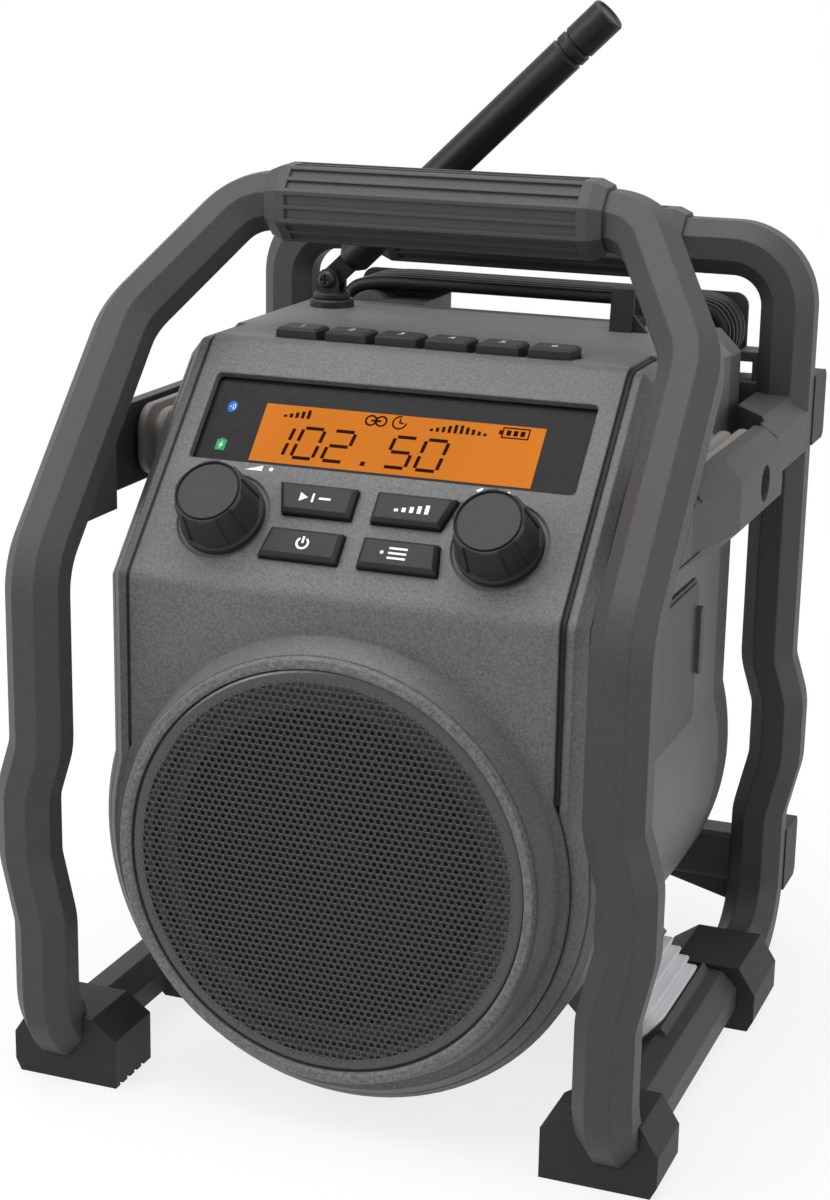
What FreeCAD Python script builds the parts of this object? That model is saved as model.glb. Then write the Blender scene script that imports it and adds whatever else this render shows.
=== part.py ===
import FreeCAD, Part
import math
import os

os.makedirs("parts", exist_ok=True)

V = FreeCAD.Vector

# Jobsite radio in a roll cage. Millimetres, Z up, the front faces -Y.
# The origin lies on the floor under the middle of the cage.

# Clearances
running = 0.35         # round a part that slides or swings
bore_gap = 0.05        # round a pin or a shaft
touching = 0.1         # between neighbours that are fixed to each other

# The radio's housing
half_width = 82.0      # at the front rim
draft = 1.5            # wider by this much at the back
belly_bulge = 3.0      # how far the round belly stands out past the straight sides
belly_r = half_width + belly_bulge
belly_z = 90.0
deck_z = 243.0
shoulder_drop = 8.0
rim_chamfer = 6.0
wall = 2.5
rim_y = -88.0
split_y = 60.0         # where the rear cover starts
back_y = 85.0
cover_step = 0.25      # the rear cover is this much smaller than the shell
cover_low = 1.2        # and its top lies this much lower
cover_wall = 6.0

# The cage: octagonal tube bent into two loops
tube = 19.0            # across the flats
leg_x = half_width + 14.0
bulge = 5.0            # how far the legs swell outward at mid height
bulge_low = (60.0, 82.0)
bulge_high = (104.0, 120.0)
front_y = -104.5
rear_y = 91.5
rail_z = 12.0
rail_front = -76.0
rail_rear = 63.0
knee_z = 179.0         # where the front legs start to lean back
shoulder = V(leg_x, -40.85, 248.5)
front_bar = V(leg_x - 27.5, -6.5, 286.0)
wrap_z = deck_z - 7.2  # the middle of the wound cord
rear_bar_z = wrap_z + 32.2
lower_bar_z = (29.0, 49.0)
upper_bar_z = (wrap_z - 35.8, wrap_z - 13.8)
grip_flats = 25.0
grip_half = leg_x - 38.0
grip_land = 8.0        # the plain stretch at each end of the ribs

# The front panel
panel_half = half_width - 10.5
panel_belly = panel_half + 6.0
drum_z = 89.0
panel_y = -89.5
panel_thick = 3.0
crease_r = 6.0
edge_r = 8.0           # the rounded edge between the slope and the deck
lean = math.radians(46.97)
foot_y, foot_z = -88.84, 176.36
edge_y = foot_y + (deck_z - foot_z) / math.tan(lean)
groove_y = edge_y + 25.1
seam = 1.6

# The speaker drum
drum_base = panel_belly - 3.0
drum_top = drum_base - 3.5
drum_y = -99.0
driver_y = drum_y + 4.0
bezel_r = drum_top - 0.4
grille_r = bezel_r - 4.0

# Controls
key_count = 6
key_pitch = 17.6
key_wide = 14.5
key_y = (edge_y + 4.6, edge_y + 15.6)
key_rise = 3.3
key_travel = 1.2
knob_x = 46.5
knob_s = 23.5
knob_r = 14.0
knob_tall = 15.0
flutes = 6
shaft_r = 3.0
button_rise = 3.0
button_travel = 1.0
display_half = panel_half - 6.0
display_s = (43.6, 76.6)
display_deep = 2.5
display_corner = 1.6

# Rubber mounts between the radio and the cage
mount_long = 62.0
mount_wide = 25.0
bridge_z = (190.0, 218.0)
upper_mount_z = 204.5
bridge_inner = half_width + 18.5
bridge_thick = 10.5
bridge_outer = bridge_inner + bridge_thick
seat_point = V(half_width + 2.0, 0, 16.0)
seat_thick = 14.0
low_mount_tall = 17.0
low_mount_long = 57.0
low_mount_y = -2.5
screw_r = 3.0
screw_head_r = 5.6
screw_sink = 3.5       # how deep the head's seat lies in the bridge

# Antenna
pivot = V(-62.0, 50.0, deck_z + 10.0)
antenna_r = 6.25
antenna_long = 138.0
antenna_rise = 43.5    # degrees above level, leaning to the right

# Cord
cord_d = 4.8
cord_sides = 10
cord_pitch = 5.3
cord_turns = 5
wrap_half = leg_x - 34.0
wrap_r = 11.0
wrap_y = 89.7
shift_run = 64.0
gland_x = wrap_half + wrap_r
gland_z = wrap_z - 30.8  # where the cord leaves the housing
gland_r = 4.6
sleeve_r = (4.6, 3.1)  # the strain relief tapers from the first to the second

X = V(1, 0, 0)
Y = V(0, 1, 0)
Z = V(0, 0, 1)


def keep(name, shape):
    shape.exportStep("parts/" + name + ".step")


def block(x, y, z):
    return Part.makeBox(x[1] - x[0], y[1] - y[0], z[1] - z[0], V(x[0], y[0], z[0]))


def face_of(points):
    return Part.Face(Part.makePolygon(points + points[:1]))


def side_prism(points, x0, x1):
    """A (y, z) outline drawn out along X."""
    return face_of([V(x0, y, z) for y, z in points]).extrude(V(x1 - x0, 0, 0))


def front_prism(points, y0, y1):
    """An (x, z) outline drawn out along Y."""
    return face_of([V(x, y0, z) for x, z in points]).extrude(V(0, y1 - y0, 0))


def plan_prism(points, z0, z1):
    """An (x, y) outline drawn out along Z."""
    return face_of([V(x, y, z0) for x, y in points]).extrude(V(0, 0, z1 - z0))


def rod(radius, start, end):
    return Part.makeCylinder(radius, (end - start).Length, start, end - start)


def ring(outer, inner, start, end):
    reach = (end - start).normalize()
    return rod(outer, start, end).cut(rod(inner, start - reach, end + reach))


def turned(profile, base, axis, side):
    """An (r, h) outline turned about an axis through base."""
    points = [base + side * r + axis * h for r, h in profile]
    return face_of(points).revolve(base, axis, 360)


def joined(shapes):
    whole = shapes[0]
    if len(shapes) > 1:
        whole = whole.multiFuse(shapes[1:])
    whole = whole.removeSplitter()
    return whole.Solids[0] if len(whole.Solids) == 1 else whole


def less(shape, tools):
    rest = shape.cut(Part.makeCompound(tools) if len(tools) > 1 else tools[0])
    return rest.Solids[0] if len(rest.Solids) == 1 else rest


def biggest(shape):
    return max(shape.Solids, key=lambda solid: solid.Volume)


def mirrored(shape):
    return shape.mirror(V(0, 0, 0), X)


def rounded(x0, x1, y0, y1, r, place):
    """A rounded rectangle as a wire, its two coordinates put in space by place."""
    q = r * (1 - math.sqrt(0.5))
    edges = []
    corners = [(x1 - r, y0, x1 - q, y0 + q, x1, y0 + r), (x1, y1 - r, x1 - q, y1 - q, x1 - r, y1),
               (x0 + r, y1, x0 + q, y1 - q, x0, y1 - r), (x0, y0 + r, x0 + q, y0 + q, x0 + r, y0)]
    for i, (ax, ay, mx, my, bx, by) in enumerate(corners):
        before = corners[i - 1]
        edges.append(Part.makeLine(place(before[4], before[5]), place(ax, ay)))
        edges.append(Part.Arc(place(ax, ay), place(mx, my), place(bx, by)).toShape())
    return Part.Wire(edges)


# The slanted control panel has its own two directions: x, and s up the slope from its foot.
slope = V(0, math.cos(lean), math.sin(lean))
outward = V(0, -math.sin(lean), math.cos(lean))
slope_foot = V(0, foot_y, foot_z)


def on_panel(x, s, n=0.0):
    return slope_foot + X * x + slope * s + outward * n


def panel_prism(points, n0, n1):
    return face_of([on_panel(x, s, n0) for x, s in points]).extrude(outward * (n1 - n0))


def rounded_on_panel(x0, x1, s0, s1, r, n0, n1):
    wire = rounded(x0, x1, s0, s1, r, lambda a, b: on_panel(a, b, n0))
    return Part.Face(wire).extrude(outward * (n1 - n0))


def octagon(centre, u, v, flats):
    r = flats / 2 / math.cos(math.pi / 8)
    angles = [math.radians(22.5 + 45 * k) for k in range(8)]
    return face_of([centre + u * (r * math.cos(a)) + v * (r * math.sin(a)) for a in angles])


def bent_tube(points, radii, u, v, flats):
    """Straight octagonal runs joined by round bends."""
    pieces = []
    here = points[0]
    for before, corner, after, radius in zip(points, points[1:], points[2:], radii):
        way_in = (corner - before).normalize()
        way_out = (after - corner).normalize()
        turn = way_in.getAngle(way_out)
        reach = radius * math.tan(turn / 2)
        start = corner - way_in * reach
        axis = way_in.cross(way_out).normalize()
        hub = start + axis.cross(way_in) * radius
        pieces.append(octagon(here, u, v, flats).extrude(start - here))
        pieces.append(octagon(start, u, v, flats).revolve(hub, axis, math.degrees(turn)))
        spin = FreeCAD.Rotation(axis, math.degrees(turn))
        u = spin.multVec(u)
        v = spin.multVec(v)
        here = corner + way_out * reach
    pieces.append(octagon(here, u, v, flats).extrude(points[-1] - here))
    return joined(pieces)


def leg_points(y):
    swell = leg_x + bulge
    return [V(leg_x, y, bulge_low[0]), V(swell, y, bulge_low[1]),
            V(swell, y, bulge_high[0]), V(leg_x, y, bulge_high[1])]


def both_halves(half):
    return joined([half, mirrored(half)])


def make_front_loop():
    points = [V(leg_x, rail_front, rail_z), V(leg_x, front_y, rail_z)] + leg_points(front_y)
    points += [V(leg_x, front_y, knee_z), shoulder, front_bar, V(0, front_bar.y, front_bar.z)]
    return both_halves(bent_tube(points, [24, 20, 20, 20, 20, 24, 30, 18], X, Z, tube))


def make_rear_loop():
    points = [V(leg_x, rail_rear, rail_z), V(leg_x, rear_y, rail_z)] + leg_points(rear_y)
    points += [V(leg_x, rear_y, rear_bar_z), V(0, rear_y, rear_bar_z)]
    return both_halves(bent_tube(points, [24, 20, 20, 20, 20, 20], X, Z, tube))


# The lower rubber mounts stand on a line at 45 degrees down and outward.
mount_way = V(math.sqrt(0.5), 0, -math.sqrt(0.5))
mount_side = V(math.sqrt(0.5), 0, math.sqrt(0.5))


def on_mount(s, t, y=0.0):
    return seat_point + mount_way * s + mount_side * t + Y * y


def mount_block(s0, s1, t_half, y_half):
    y = low_mount_y - y_half
    corners = [on_mount(s, t, y) for s, t in ((s0, -t_half), (s1, -t_half), (s1, t_half), (s0, t_half))]
    return face_of(corners).extrude(V(0, 2 * y_half, 0))


def mount_axis(s):
    return on_mount(s, 0, low_mount_y)


def lower_screw_holes():
    return [rod(screw_r + 0.3, mount_axis(-2), mount_axis(20)), rod(6.0, mount_axis(10), mount_axis(30))]


def make_rail():
    """The right bottom rail with the seat of the lower rubber mount."""
    straight = octagon(V(leg_x, rail_front, rail_z), X, Z, tube).extrude(V(0, rail_rear - rail_front, 0))
    seat = mount_block(1.0, 1.0 + seat_thick, 12.0, low_mount_long / 2)
    seat = seat.cut(block((leg_x - 40, leg_x + 40), (-50, 50), (-20, 1.5)))
    return less(joined([straight, seat]), lower_screw_holes())


def make_bridge(front_loop, rear_loop):
    """The right side bridge between the loops, bowed out round the upper rubber mount."""
    side = leg_x + tube / 2
    near = leg_x - 9
    outline = [(side, -100), (side, -70), (bridge_outer, -33), (bridge_outer, 25), (side, 31), (side, rear_y),
               (near, rear_y), (near, 58), (bridge_inner, 40), (bridge_inner, -45),
               (near + 1, -66), (near + 1, -100)]
    low, high = bridge_z
    bar = plan_prism(outline, low, high)
    edge = 6.0
    tools = []
    for (x0, y0), (x1, y1) in list(zip(outline, outline[1:]))[:5]:
        way = V(x1 - x0, y1 - y0, 0).normalize()
        out = V(way.y, -way.x, 0)
        start = V(x0, y0, 0) - way * 6
        run = way * (V(x1 - x0, y1 - y0, 0).Length + 12)
        for z, up in ((high, 1), (low, -1)):
            corners = [start - out * edge + Z * z, start + out * 9 + Z * (z - up * (edge + 9)),
                       start + out * 9 + Z * (z + up)]
            tools.append(face_of(corners).extrude(run))
    head_seat = V(bridge_inner + screw_sink, 0, upper_mount_z)
    tools.append(block((near - 7, bridge_outer - 4), (38, 100), (low - 1, low + 8)))
    tools.append(rod(screw_head_r + 0.4, head_seat, V(bridge_outer + 2, 0, upper_mount_z)))
    tools.append(rod(screw_r + 0.3, V(bridge_inner - 1, 0, upper_mount_z), V(bridge_outer, 0, upper_mount_z)))
    knee = [(front_y - 45, knee_z - 60), (front_y, knee_z), (front_y + 98, knee_z + 107),
            (front_y - 45, knee_z + 107)]
    ahead = side_prism(knee, leg_x - 16, leg_x + 24)
    return biggest(less(bar, tools + [ahead, front_loop, rear_loop]))


def rib_stack(length, bore_length, long, steps):
    """A rubber mount along +X from the origin, through steps of (part of the length, inset)."""
    sections = []
    for part, inset in steps:
        half_y = long / 2 - inset
        half_z = mount_wide / 2 - inset
        section = rounded(-half_y, half_y, -half_z, half_z, 9.0 - inset, lambda a, b: V(0, a, b))
        section.translate(V(part * length, 0, 0))
        sections.append(section)
    solid = Part.makeLoft(sections, True, True)
    return solid.cut(rod(screw_r + 0.3, V(-1, 0, 0), V(bore_length + 1, 0, 0)))


def make_upper_mount(shell):
    start = half_width - 0.5
    valley = 3.4
    steps = [(0.0, valley)]
    for k, crest in enumerate((1.2, 1.2, 0.0)):
        steps += [((k + 0.28) / 3, crest + 0.3), ((k + 0.5) / 3, crest), ((k + 0.74) / 3, crest + 0.3)]
        steps.append(((k + 1) / 3, valley))
    mount = rib_stack(bridge_inner - start, 40, mount_long, steps)
    mount.translate(V(start, 0, upper_mount_z))
    return biggest(mount.cut(shell))


def make_lower_mount():
    ribs = 4
    steps = []
    for k in range(ribs):
        steps += [(k / ribs, 2.2), ((k + 0.6) / ribs, 0.0), ((k + 0.75) / ribs, 0.0)]
    mount = rib_stack(low_mount_tall, 20, low_mount_long, steps + [(1.0, 2.2)])
    mount.rotate(V(0, 0, 0), Y, 45)
    mount.translate(mount_axis(1 - low_mount_tall))
    return mount


def make_mount_screws():
    """One screw through each rubber mount into the housing."""
    head = V(bridge_inner + screw_sink, 0, upper_mount_z)
    upper = joined([rod(screw_r, V(half_width - 9, 0, upper_mount_z), head + X * 0.2),
                    rod(screw_head_r, head, head + X * 3)])
    lower = joined([rod(screw_r, mount_axis(-33), mount_axis(10.5)),
                    rod(screw_head_r, mount_axis(10), mount_axis(13))])
    socket = [Part.makeBox(3, 3, 3, V(bridge_inner + 5, -1.5, upper_mount_z - 1.5))]
    upper = less(upper, socket)
    return Part.makeCompound([upper, lower, mirrored(upper), mirrored(lower)])


def make_grip(centre, u, v):
    """An eight-sided rubber sleeve, tapered at its ends, with two shallow channels along each flat."""
    taper = 4.5
    straight = grip_half - taper
    core = octagon(centre - X * straight, u, v, grip_flats).extrude(X * (2 * straight))
    ends = []
    for side in (-1, 1):
        wide = octagon(centre + X * (side * straight), u, v, grip_flats)
        narrow = octagon(centre + X * (side * grip_half), u, v, tube + 2.4)
        ends.append(Part.makeLoft([wide.OuterWire, narrow.OuterWire], True, True))
    body = joined([core] + ends)
    face = grip_flats * math.tan(math.pi / 8)
    ridge = 1.3
    width = (face - 3 * ridge) / 2
    depth = 0.9
    cuts = [octagon(centre - X * (grip_half + 10), u, v, tube + touching).extrude(X * (2 * grip_half + 20))]
    for k in range(8):
        a = math.radians(45 * k)
        out = u * math.cos(a) + v * math.sin(a)
        across = v * math.cos(a) - u * math.sin(a)
        for side in (-1, 1):
            foot = centre + out * (grip_flats / 2 - depth) - X * (straight - grip_land + taper)
            near = across * (side * ridge / 2)
            far = across * (side * (ridge / 2 + width))
            corners = [foot + near, foot + far, foot + far + out * 3, foot + near + out * 3]
            cuts.append(face_of(corners).extrude(X * (2 * (straight - grip_land + taper))))
    return less(body, cuts)


def make_feet(frame):
    """Four rubber feet wrapped round the bottom corners of the cage."""
    inner = leg_x - 22
    outer = leg_x + 16
    top = rail_z + tube / 2 + 1.8
    section = [(inner, 0), (outer - 2, 0), (outer, 4), (outer, 14), (outer - 6, top), (inner + 9, top),
               (inner, 17)]
    feet = []
    for y0, y1 in ((-99.5, -74.5), (26.5, 59.5)):
        foot = front_prism(section, y0, y1)
        starts = [y0 + 3 + 5 * k for k in range(int((y1 - y0 - 3) / 5))]
        grooves = [block((inner - 4, outer + 4), (at, at + 2), (-1, 1.0)) for at in starts]
        foot = biggest(less(foot, grooves + frame))
        feet += [foot, mirrored(foot)]
    return Part.makeCompound(feet)


def make_bumpers(frame):
    """Rubber caps on the backs of the rear legs."""
    caps = []
    back = rear_y + 23.0
    for bar, over in ((lower_bar_z, 2), (upper_bar_z, 1.5)):
        z0, z1 = bar[0] - over, bar[1] + over
        side = [(rear_y + 4, z0), (back - 2, z0), (back, z0 + 2), (back, z1 - 2), (back - 2, z1),
                (rear_y + 4, z1)]
        cap = biggest(less(side_prism(side, leg_x - 10, leg_x + 10), frame))
        caps += [cap, mirrored(cap)]
    return Part.makeCompound(caps)


def crossbar(z0, z1):
    """A flat bar with bevelled edges between the rear legs."""
    y0 = rear_y - 3.5
    y1 = rear_y + 10.0
    outline = [(y0, z0 + 3), (y0 + 3, z0), (y1 - 3, z0), (y1, z0 + 3), (y1, z1 - 1.5), (y1 - 1.5, z1),
               (y0 + 1.5, z1), (y0, z1 - 1.5)]
    return side_prism(outline, 5 - leg_x, leg_x - 5)


def make_lower_crossbar(rear_loop):
    """The lower bar, with a web down each leg."""
    z0, z1 = lower_bar_z
    end = leg_x - 5
    webs = []
    for side in (-1, 1):
        corners = [(side * end, z0 + 4), (side * (end - 31), z0), (side * end, z0 - 8)]
        webs.append(front_prism(corners, rear_y - 1.5, rear_y + 8.5))
    return biggest(less(joined([crossbar(z0, z1)] + webs), [rear_loop]))


def make_upper_crossbar(rear_loop):
    """The upper bar, with an ear at each end and a notch for the cord's strain relief."""
    z0, z1 = upper_bar_z
    end = leg_x - 6
    ears = []
    for side in (-1, 1):
        deep = (rear_y - 3, rear_y + 9.5)
        ears.append(block(sorted((side * (end - 11), side * end)), deep, (z1 + 6, z1 + 9.5)))
        ears.append(block(sorted((side * (end - 5.7), side * end)), deep, (z1 - 1, z1 + 7)))
    room = gland_r + 1.4
    notch = block((gland_x - room, gland_x + room), (rear_y - 10, wrap_y + room), (z0 - 1, z1 + 1))
    return biggest(less(joined([crossbar(z0, z1)] + ears), [rear_loop, notch]))


def upper_outline(y, half, top, drop):
    """The housing's upper half at one depth: straight sides, chamfered shoulders and the deck."""
    points = [V(half, y, belly_z), V(half, y, top - drop), V(half - drop, y, top)]
    points += [V(-p.x, y, p.z) for p in reversed(points)]
    return Part.makePolygon(points + points[:1])


def housing_solid(stations, top):
    """The housing through stations of (y, inset): a round belly and a straight upper half in one."""
    belly = [(0, stations[0][0])]
    uppers = []
    for y, inset in stations:
        grow = draft * (y - rim_y) / (back_y - rim_y)
        belly.append((belly_r + grow - inset, y))
        drop = shoulder_drop - inset * (2 - math.sqrt(2))
        uppers.append(upper_outline(y, half_width + grow - inset, top - inset, drop))
    belly.append((0, stations[-1][0]))
    round_half = turned(belly, V(0, 0, belly_z), Y, X)
    return joined([round_half, Part.makeLoft(uppers, True, True)])


def front_profile(step, y_end, z_end):
    """The wire of the front's side view, moved inward by step: face, crease, slope, rounded edge and deck."""
    face = panel_y + step
    foot = slope_foot - outward * step
    top = deck_z - step
    crease_y = face
    crease_z = foot.z + slope.z * (face - foot.y) / slope.y
    bend_y = foot.y + slope.y * (top - foot.z) / slope.z
    low = arc_between(crease_y, crease_z, crease_r - step, math.pi / 2 - lean, V(0, 0, 1), slope)
    high = arc_between(bend_y, top, edge_r - step, lean, slope, Y)
    start = V(0, face, z_end)
    end = V(0, y_end, top)
    return [Part.makeLine(start, low[0]), Part.Arc(*low).toShape(), Part.makeLine(low[2], high[0]),
            Part.Arc(*high).toShape(), Part.makeLine(high[2], end)], start, end


def arc_between(y, z, radius, turn, way_in, way_out):
    """Start, middle and end of the arc that rounds a corner."""
    corner = V(0, y, z)
    reach = radius * math.tan(turn / 2)
    inside = (way_out - way_in).normalize()
    middle = corner + inside * (radius / math.cos(turn / 2) - radius)
    return corner - way_in * reach, middle, corner + way_out * reach


def ahead_of_front(step, y_end, wide):
    """Everything ahead of and above the front's side view."""
    edges, start, end = front_profile(step, y_end, -20)
    line = [end, V(0, y_end, deck_z + 60), V(0, panel_y - 60, deck_z + 60), V(0, panel_y - 60, -20), start]
    edges += [Part.makeLine(p, q) for p, q in zip(line, line[1:])]
    side = Part.Face(Part.Wire(edges))
    side.translate(V(-wide, 0, 0))
    return side.extrude(V(2 * wide, 0, 0))


def front_skin(step, thick, y_end, z_end, x0, x1):
    """A bent sheet that follows the front's side view, between two depths."""
    outer, start, end = front_profile(step, y_end, z_end)
    inner, other_start, other_end = front_profile(step + thick, y_end, z_end)
    edges = outer + [Part.makeLine(end, other_end)] + inner[::-1] + [Part.makeLine(other_start, start)]
    side = Part.Face(Part.Wire(Part.__sortEdges__(edges)))
    side.translate(V(x0, 0, 0))
    return side.extrude(V(x1 - x0, 0, 0))


def front_outline(y, half, belly):
    """The front panel's outline: straight sides and a round bottom about the drum."""
    meet = drum_z + math.sqrt(belly ** 2 - half ** 2)
    edges = [Part.Arc(V(-half, y, meet), V(0, y, drum_z - belly), V(half, y, meet)).toShape()]
    line = [V(half, y, meet), V(half, y, 260), V(-half, y, 260), V(-half, y, meet)]
    edges += [Part.makeLine(a, b) for a, b in zip(line, line[1:])]
    return Part.Wire(edges)


port_y = (-31.0, 29.0)
port_z = (112.0, 164.0)
hole_edge = 4.0


def make_shell():
    """The housing: a U-shaped tunnel with a chamfered front rim."""
    rim = panel_y + 1.5
    outer = housing_solid([(rim, 0), (split_y, 0)], deck_z)
    bosses = [mount_block(-40.0, 1 - low_mount_tall, 11.0, low_mount_long / 2 - 4)]
    bosses.append(mirrored(bosses[0]))
    outer = joined([outer] + bosses)
    cuts = [ahead_of_front(1.5, groove_y, half_width + 40)]
    # the chamfer outside the rim, straight, slanted and round
    reach = 7.0
    inner = half_width - rim_chamfer
    meet = belly_z + math.sqrt(belly_r ** 2 - half_width ** 2)
    for side in (-1, 1):
        wide = side * (inner + 3 * rim_chamfer)
        far = side * (half_width + 30)
        low = [(side * inner, rim), (wide, rim + 3 * reach), (far, rim - 30), (side * inner, rim - 30)]
        cuts.append(plan_prism(low, meet, meet + 90))
        high = [(side * inner, -1.5), (wide, -1.5 - 3 * reach), (far, 40), (side * inner, 40)]
        corners = [slope_foot - slope * 30 + X * x + outward * n for x, n in high]
        cuts.append(face_of(corners).extrude(slope * 122))
    cone = Part.makeCone(belly_r - rim_chamfer, belly_r, reach, V(0, rim, belly_z), Y)
    cuts.append(block((-belly_r - 20, belly_r + 20), (rim - 1, rim + reach), (-10, meet)).cut(cone))
    # the inside
    cavity = housing_solid([(rim + 4, wall), (split_y + 1, wall)], deck_z)
    cavity = cavity.cut(ahead_of_front(5.5, groove_y + 4, half_width + 40))
    inner_shelf = rod(screw_r + 3, V(half_width - 9, 0, upper_mount_z), V(half_width - 1, 0, upper_mount_z))
    cavity = cavity.cut(inner_shelf).cut(mirrored(inner_shelf))
    cuts.append(cavity)
    mouth = Part.Face(front_outline(-120, panel_half + seam, panel_belly + 0.3))
    cuts.append(mouth.extrude(V(0, 120 + groove_y, 0)))
    thread = rod(screw_r + bore_gap, V(half_width - 12, 0, upper_mount_z),
                 V(half_width + 4, 0, upper_mount_z))
    low_thread = rod(screw_r + bore_gap, mount_axis(-45), mount_axis(-10))
    cuts += [thread, mirrored(thread), low_thread, mirrored(low_thread)]
    # the socket opening on the right side, with a shallow seat for its cover
    seat = rounded(port_y[0], port_y[1], port_z[0], port_z[1], 5.0, lambda a, b: V(half_width - 0.6, a, b))
    cuts.append(Part.Face(seat).extrude(X * 5))
    opening = rounded(port_y[0] + hole_edge, port_y[1] - hole_edge, port_z[0] + hole_edge,
                      port_z[1] - hole_edge, 4.0, lambda a, b: V(half_width - 6, a, b))
    cuts.append(Part.Face(opening).extrude(X * 10))
    cuts.append(rod(stem_r + bore_gap, V(pivot.x, pivot.y, deck_z - 6), V(pivot.x, pivot.y, deck_z + 2)))
    shell = biggest(less(outer, cuts))
    knuckles = []
    for z0, z1 in port_knuckles:
        lug = plan_prism([(half_width - 0.2, port_y[0] - 5.5), (hinge_x, port_y[0] - 5.0),
                          (hinge_x, port_y[0] - 1.0), (half_width - 0.2, port_y[0] - 0.2)], z0, z1)
        knuckles += [lug, rod(2.2, V(hinge_x, hinge_y, z0), V(hinge_x, hinge_y, z1))]
    shell = joined([shell] + knuckles)
    return less(shell, [rod(1.0 + bore_gap, V(hinge_x, hinge_y, port_z[0]), V(hinge_x, hinge_y, port_z[1]))])


# The port cover swings on an upright pin at its front edge.
hinge_x = half_width + 2.9
hinge_y = port_y[0] - 3.0
port_knuckles = ((port_z[0] + 2, port_z[0] + 10), (port_z[1] - 10, port_z[1] - 2))


def make_port_cover():
    gap = running
    plate = rounded(port_y[0] + gap, port_y[1] - gap, port_z[0] + gap, port_z[1] - gap, 4.6,
                    lambda a, b: V(half_width - 0.35, a, b))
    plate = Part.Face(plate).extrude(X * 2.0)
    lid = rounded(port_y[0] + 1.6, port_y[1] - 1.6, port_z[0] + 1.6, port_z[1] - 1.6, 3.6,
                  lambda a, b: V(half_width + 1.1, a, b))
    lid = Part.Face(lid).extrude(X * 1.3)
    tab = rounded(port_y[1] - 5, port_y[1] - 0.8, 130, 154, 2.0, lambda a, b: V(half_width + 1.0, a, b))
    tab = Part.Face(tab).extrude(X * 3.4)
    plug = rounded(port_y[0] + hole_edge + 1, port_y[1] - hole_edge - 1.2, port_z[0] + hole_edge + 1,
                   port_z[1] - hole_edge - 1, 3.0, lambda a, b: V(half_width - 1.6, a, b))
    plug = Part.Face(plug).extrude(X * 2.0)
    low, high = port_knuckles[0][1] + 0.4, port_knuckles[1][0] - 0.4
    arm = block((half_width + 1.0, hinge_x + 0.6), (hinge_y, port_y[0] + 3), (low, high))
    barrel = rod(2.2, V(hinge_x, hinge_y, low), V(hinge_x, hinge_y, high))
    cover = joined([plate, lid, tab, plug, arm, barrel])
    return less(cover, [rod(1.0 + bore_gap, V(hinge_x, hinge_y, low - 1), V(hinge_x, hinge_y, high + 1))])


def make_rear_cover():
    """The back of the housing with its battery bay, cord hooks and hinge knuckles."""
    curve = ((split_y, 0.0), (75.0, 0.0), (79.5, 1.2), (82.8, 3.6), (84.6, 6.8), (back_y, 9.0))
    top = deck_z - cover_low
    outer = housing_solid([(y, inset + cover_step) for y, inset in curve], top)
    inner = housing_solid([(split_y - 1, cover_wall), (back_y - wall, cover_wall)], top)
    lip = housing_solid([(split_y - 1, wall + cover_step), (78.0, wall + cover_step)], top)
    bay = block((-bay_half, bay_half), (back_y - 5, back_y + 1), bay_z)
    tabs = []
    for side in (-1, 1):
        edges = sorted((side * 24, side * 32))
        tab = block(edges, (back_y - 0.5, door_pin.y), (door_pin.z - 2.2, door_pin.z + 1.0))
        tabs += [tab, rod(2.2, V(edges[0], door_pin.y, door_pin.z), V(edges[1], door_pin.y, door_pin.z))]
    cover = less(outer, [inner, lip, bay])
    cover = joined([cover] + tabs)
    cuts = [rod(1.2 + bore_gap, V(-60, door_pin.y, door_pin.z), V(60, door_pin.y, door_pin.z))]
    cuts.append(rod(gland_r + touching, V(gland_x, split_y, gland_z), V(gland_x, 95, gland_z)))
    for x, z in screw_places:
        cuts.append(rod(1.7, V(x, 60, z), V(x, 90, z)))
        cuts.append(rod(3.6, V(x, back_y - 1.8, z), V(x, 90, z)))
    return less(cover, cuts)


bay_half = 46.0
bay_z = (76.0, 184.0)
door_pin = V(0, back_y + 2.6, 69.5)
screw_places = [(side * (half_width - 15), z) for z in (118.0, 190.0) for side in (-1, 1)]


def make_door():
    """The battery door: a lid over the bay, hinged along its foot."""
    lid = block((-bay_half - 4, bay_half + 4), (back_y + 0.2, back_y + 2.0), (bay_z[0] - 4, bay_z[1] + 4))
    plug = block((-bay_half + 0.6, bay_half - 0.6), (back_y - 2.2, back_y + 0.4),
                 (bay_z[0] + 0.8, bay_z[1] - 0.6))
    barrel = rod(2.2, V(-23.5, door_pin.y, door_pin.z), V(23.5, door_pin.y, door_pin.z))
    arm = block((-23.5, 23.5), (back_y + 0.7, back_y + 2.5), (door_pin.z, bay_z[0] - 2))
    half = bay_half - 8
    ribs = [block((-half, half), (back_y + 1.8, back_y + 2.6), (z, z + 2)) for z in range(96, 145, 12)]
    door = joined([lid, plug, barrel, arm] + ribs)
    low = bay_z[1] - 11.0 - running
    high = bay_z[1] - 5.4 + latch_travel + running
    slot = block((-6 - running, 6 + running), (back_y - 4, back_y + 4), (low, high))
    bore = rod(1.2 + bore_gap, V(-60, door_pin.y, door_pin.z), V(60, door_pin.y, door_pin.z))
    return less(door, [slot, bore])


latch_travel = 3.0


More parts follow.
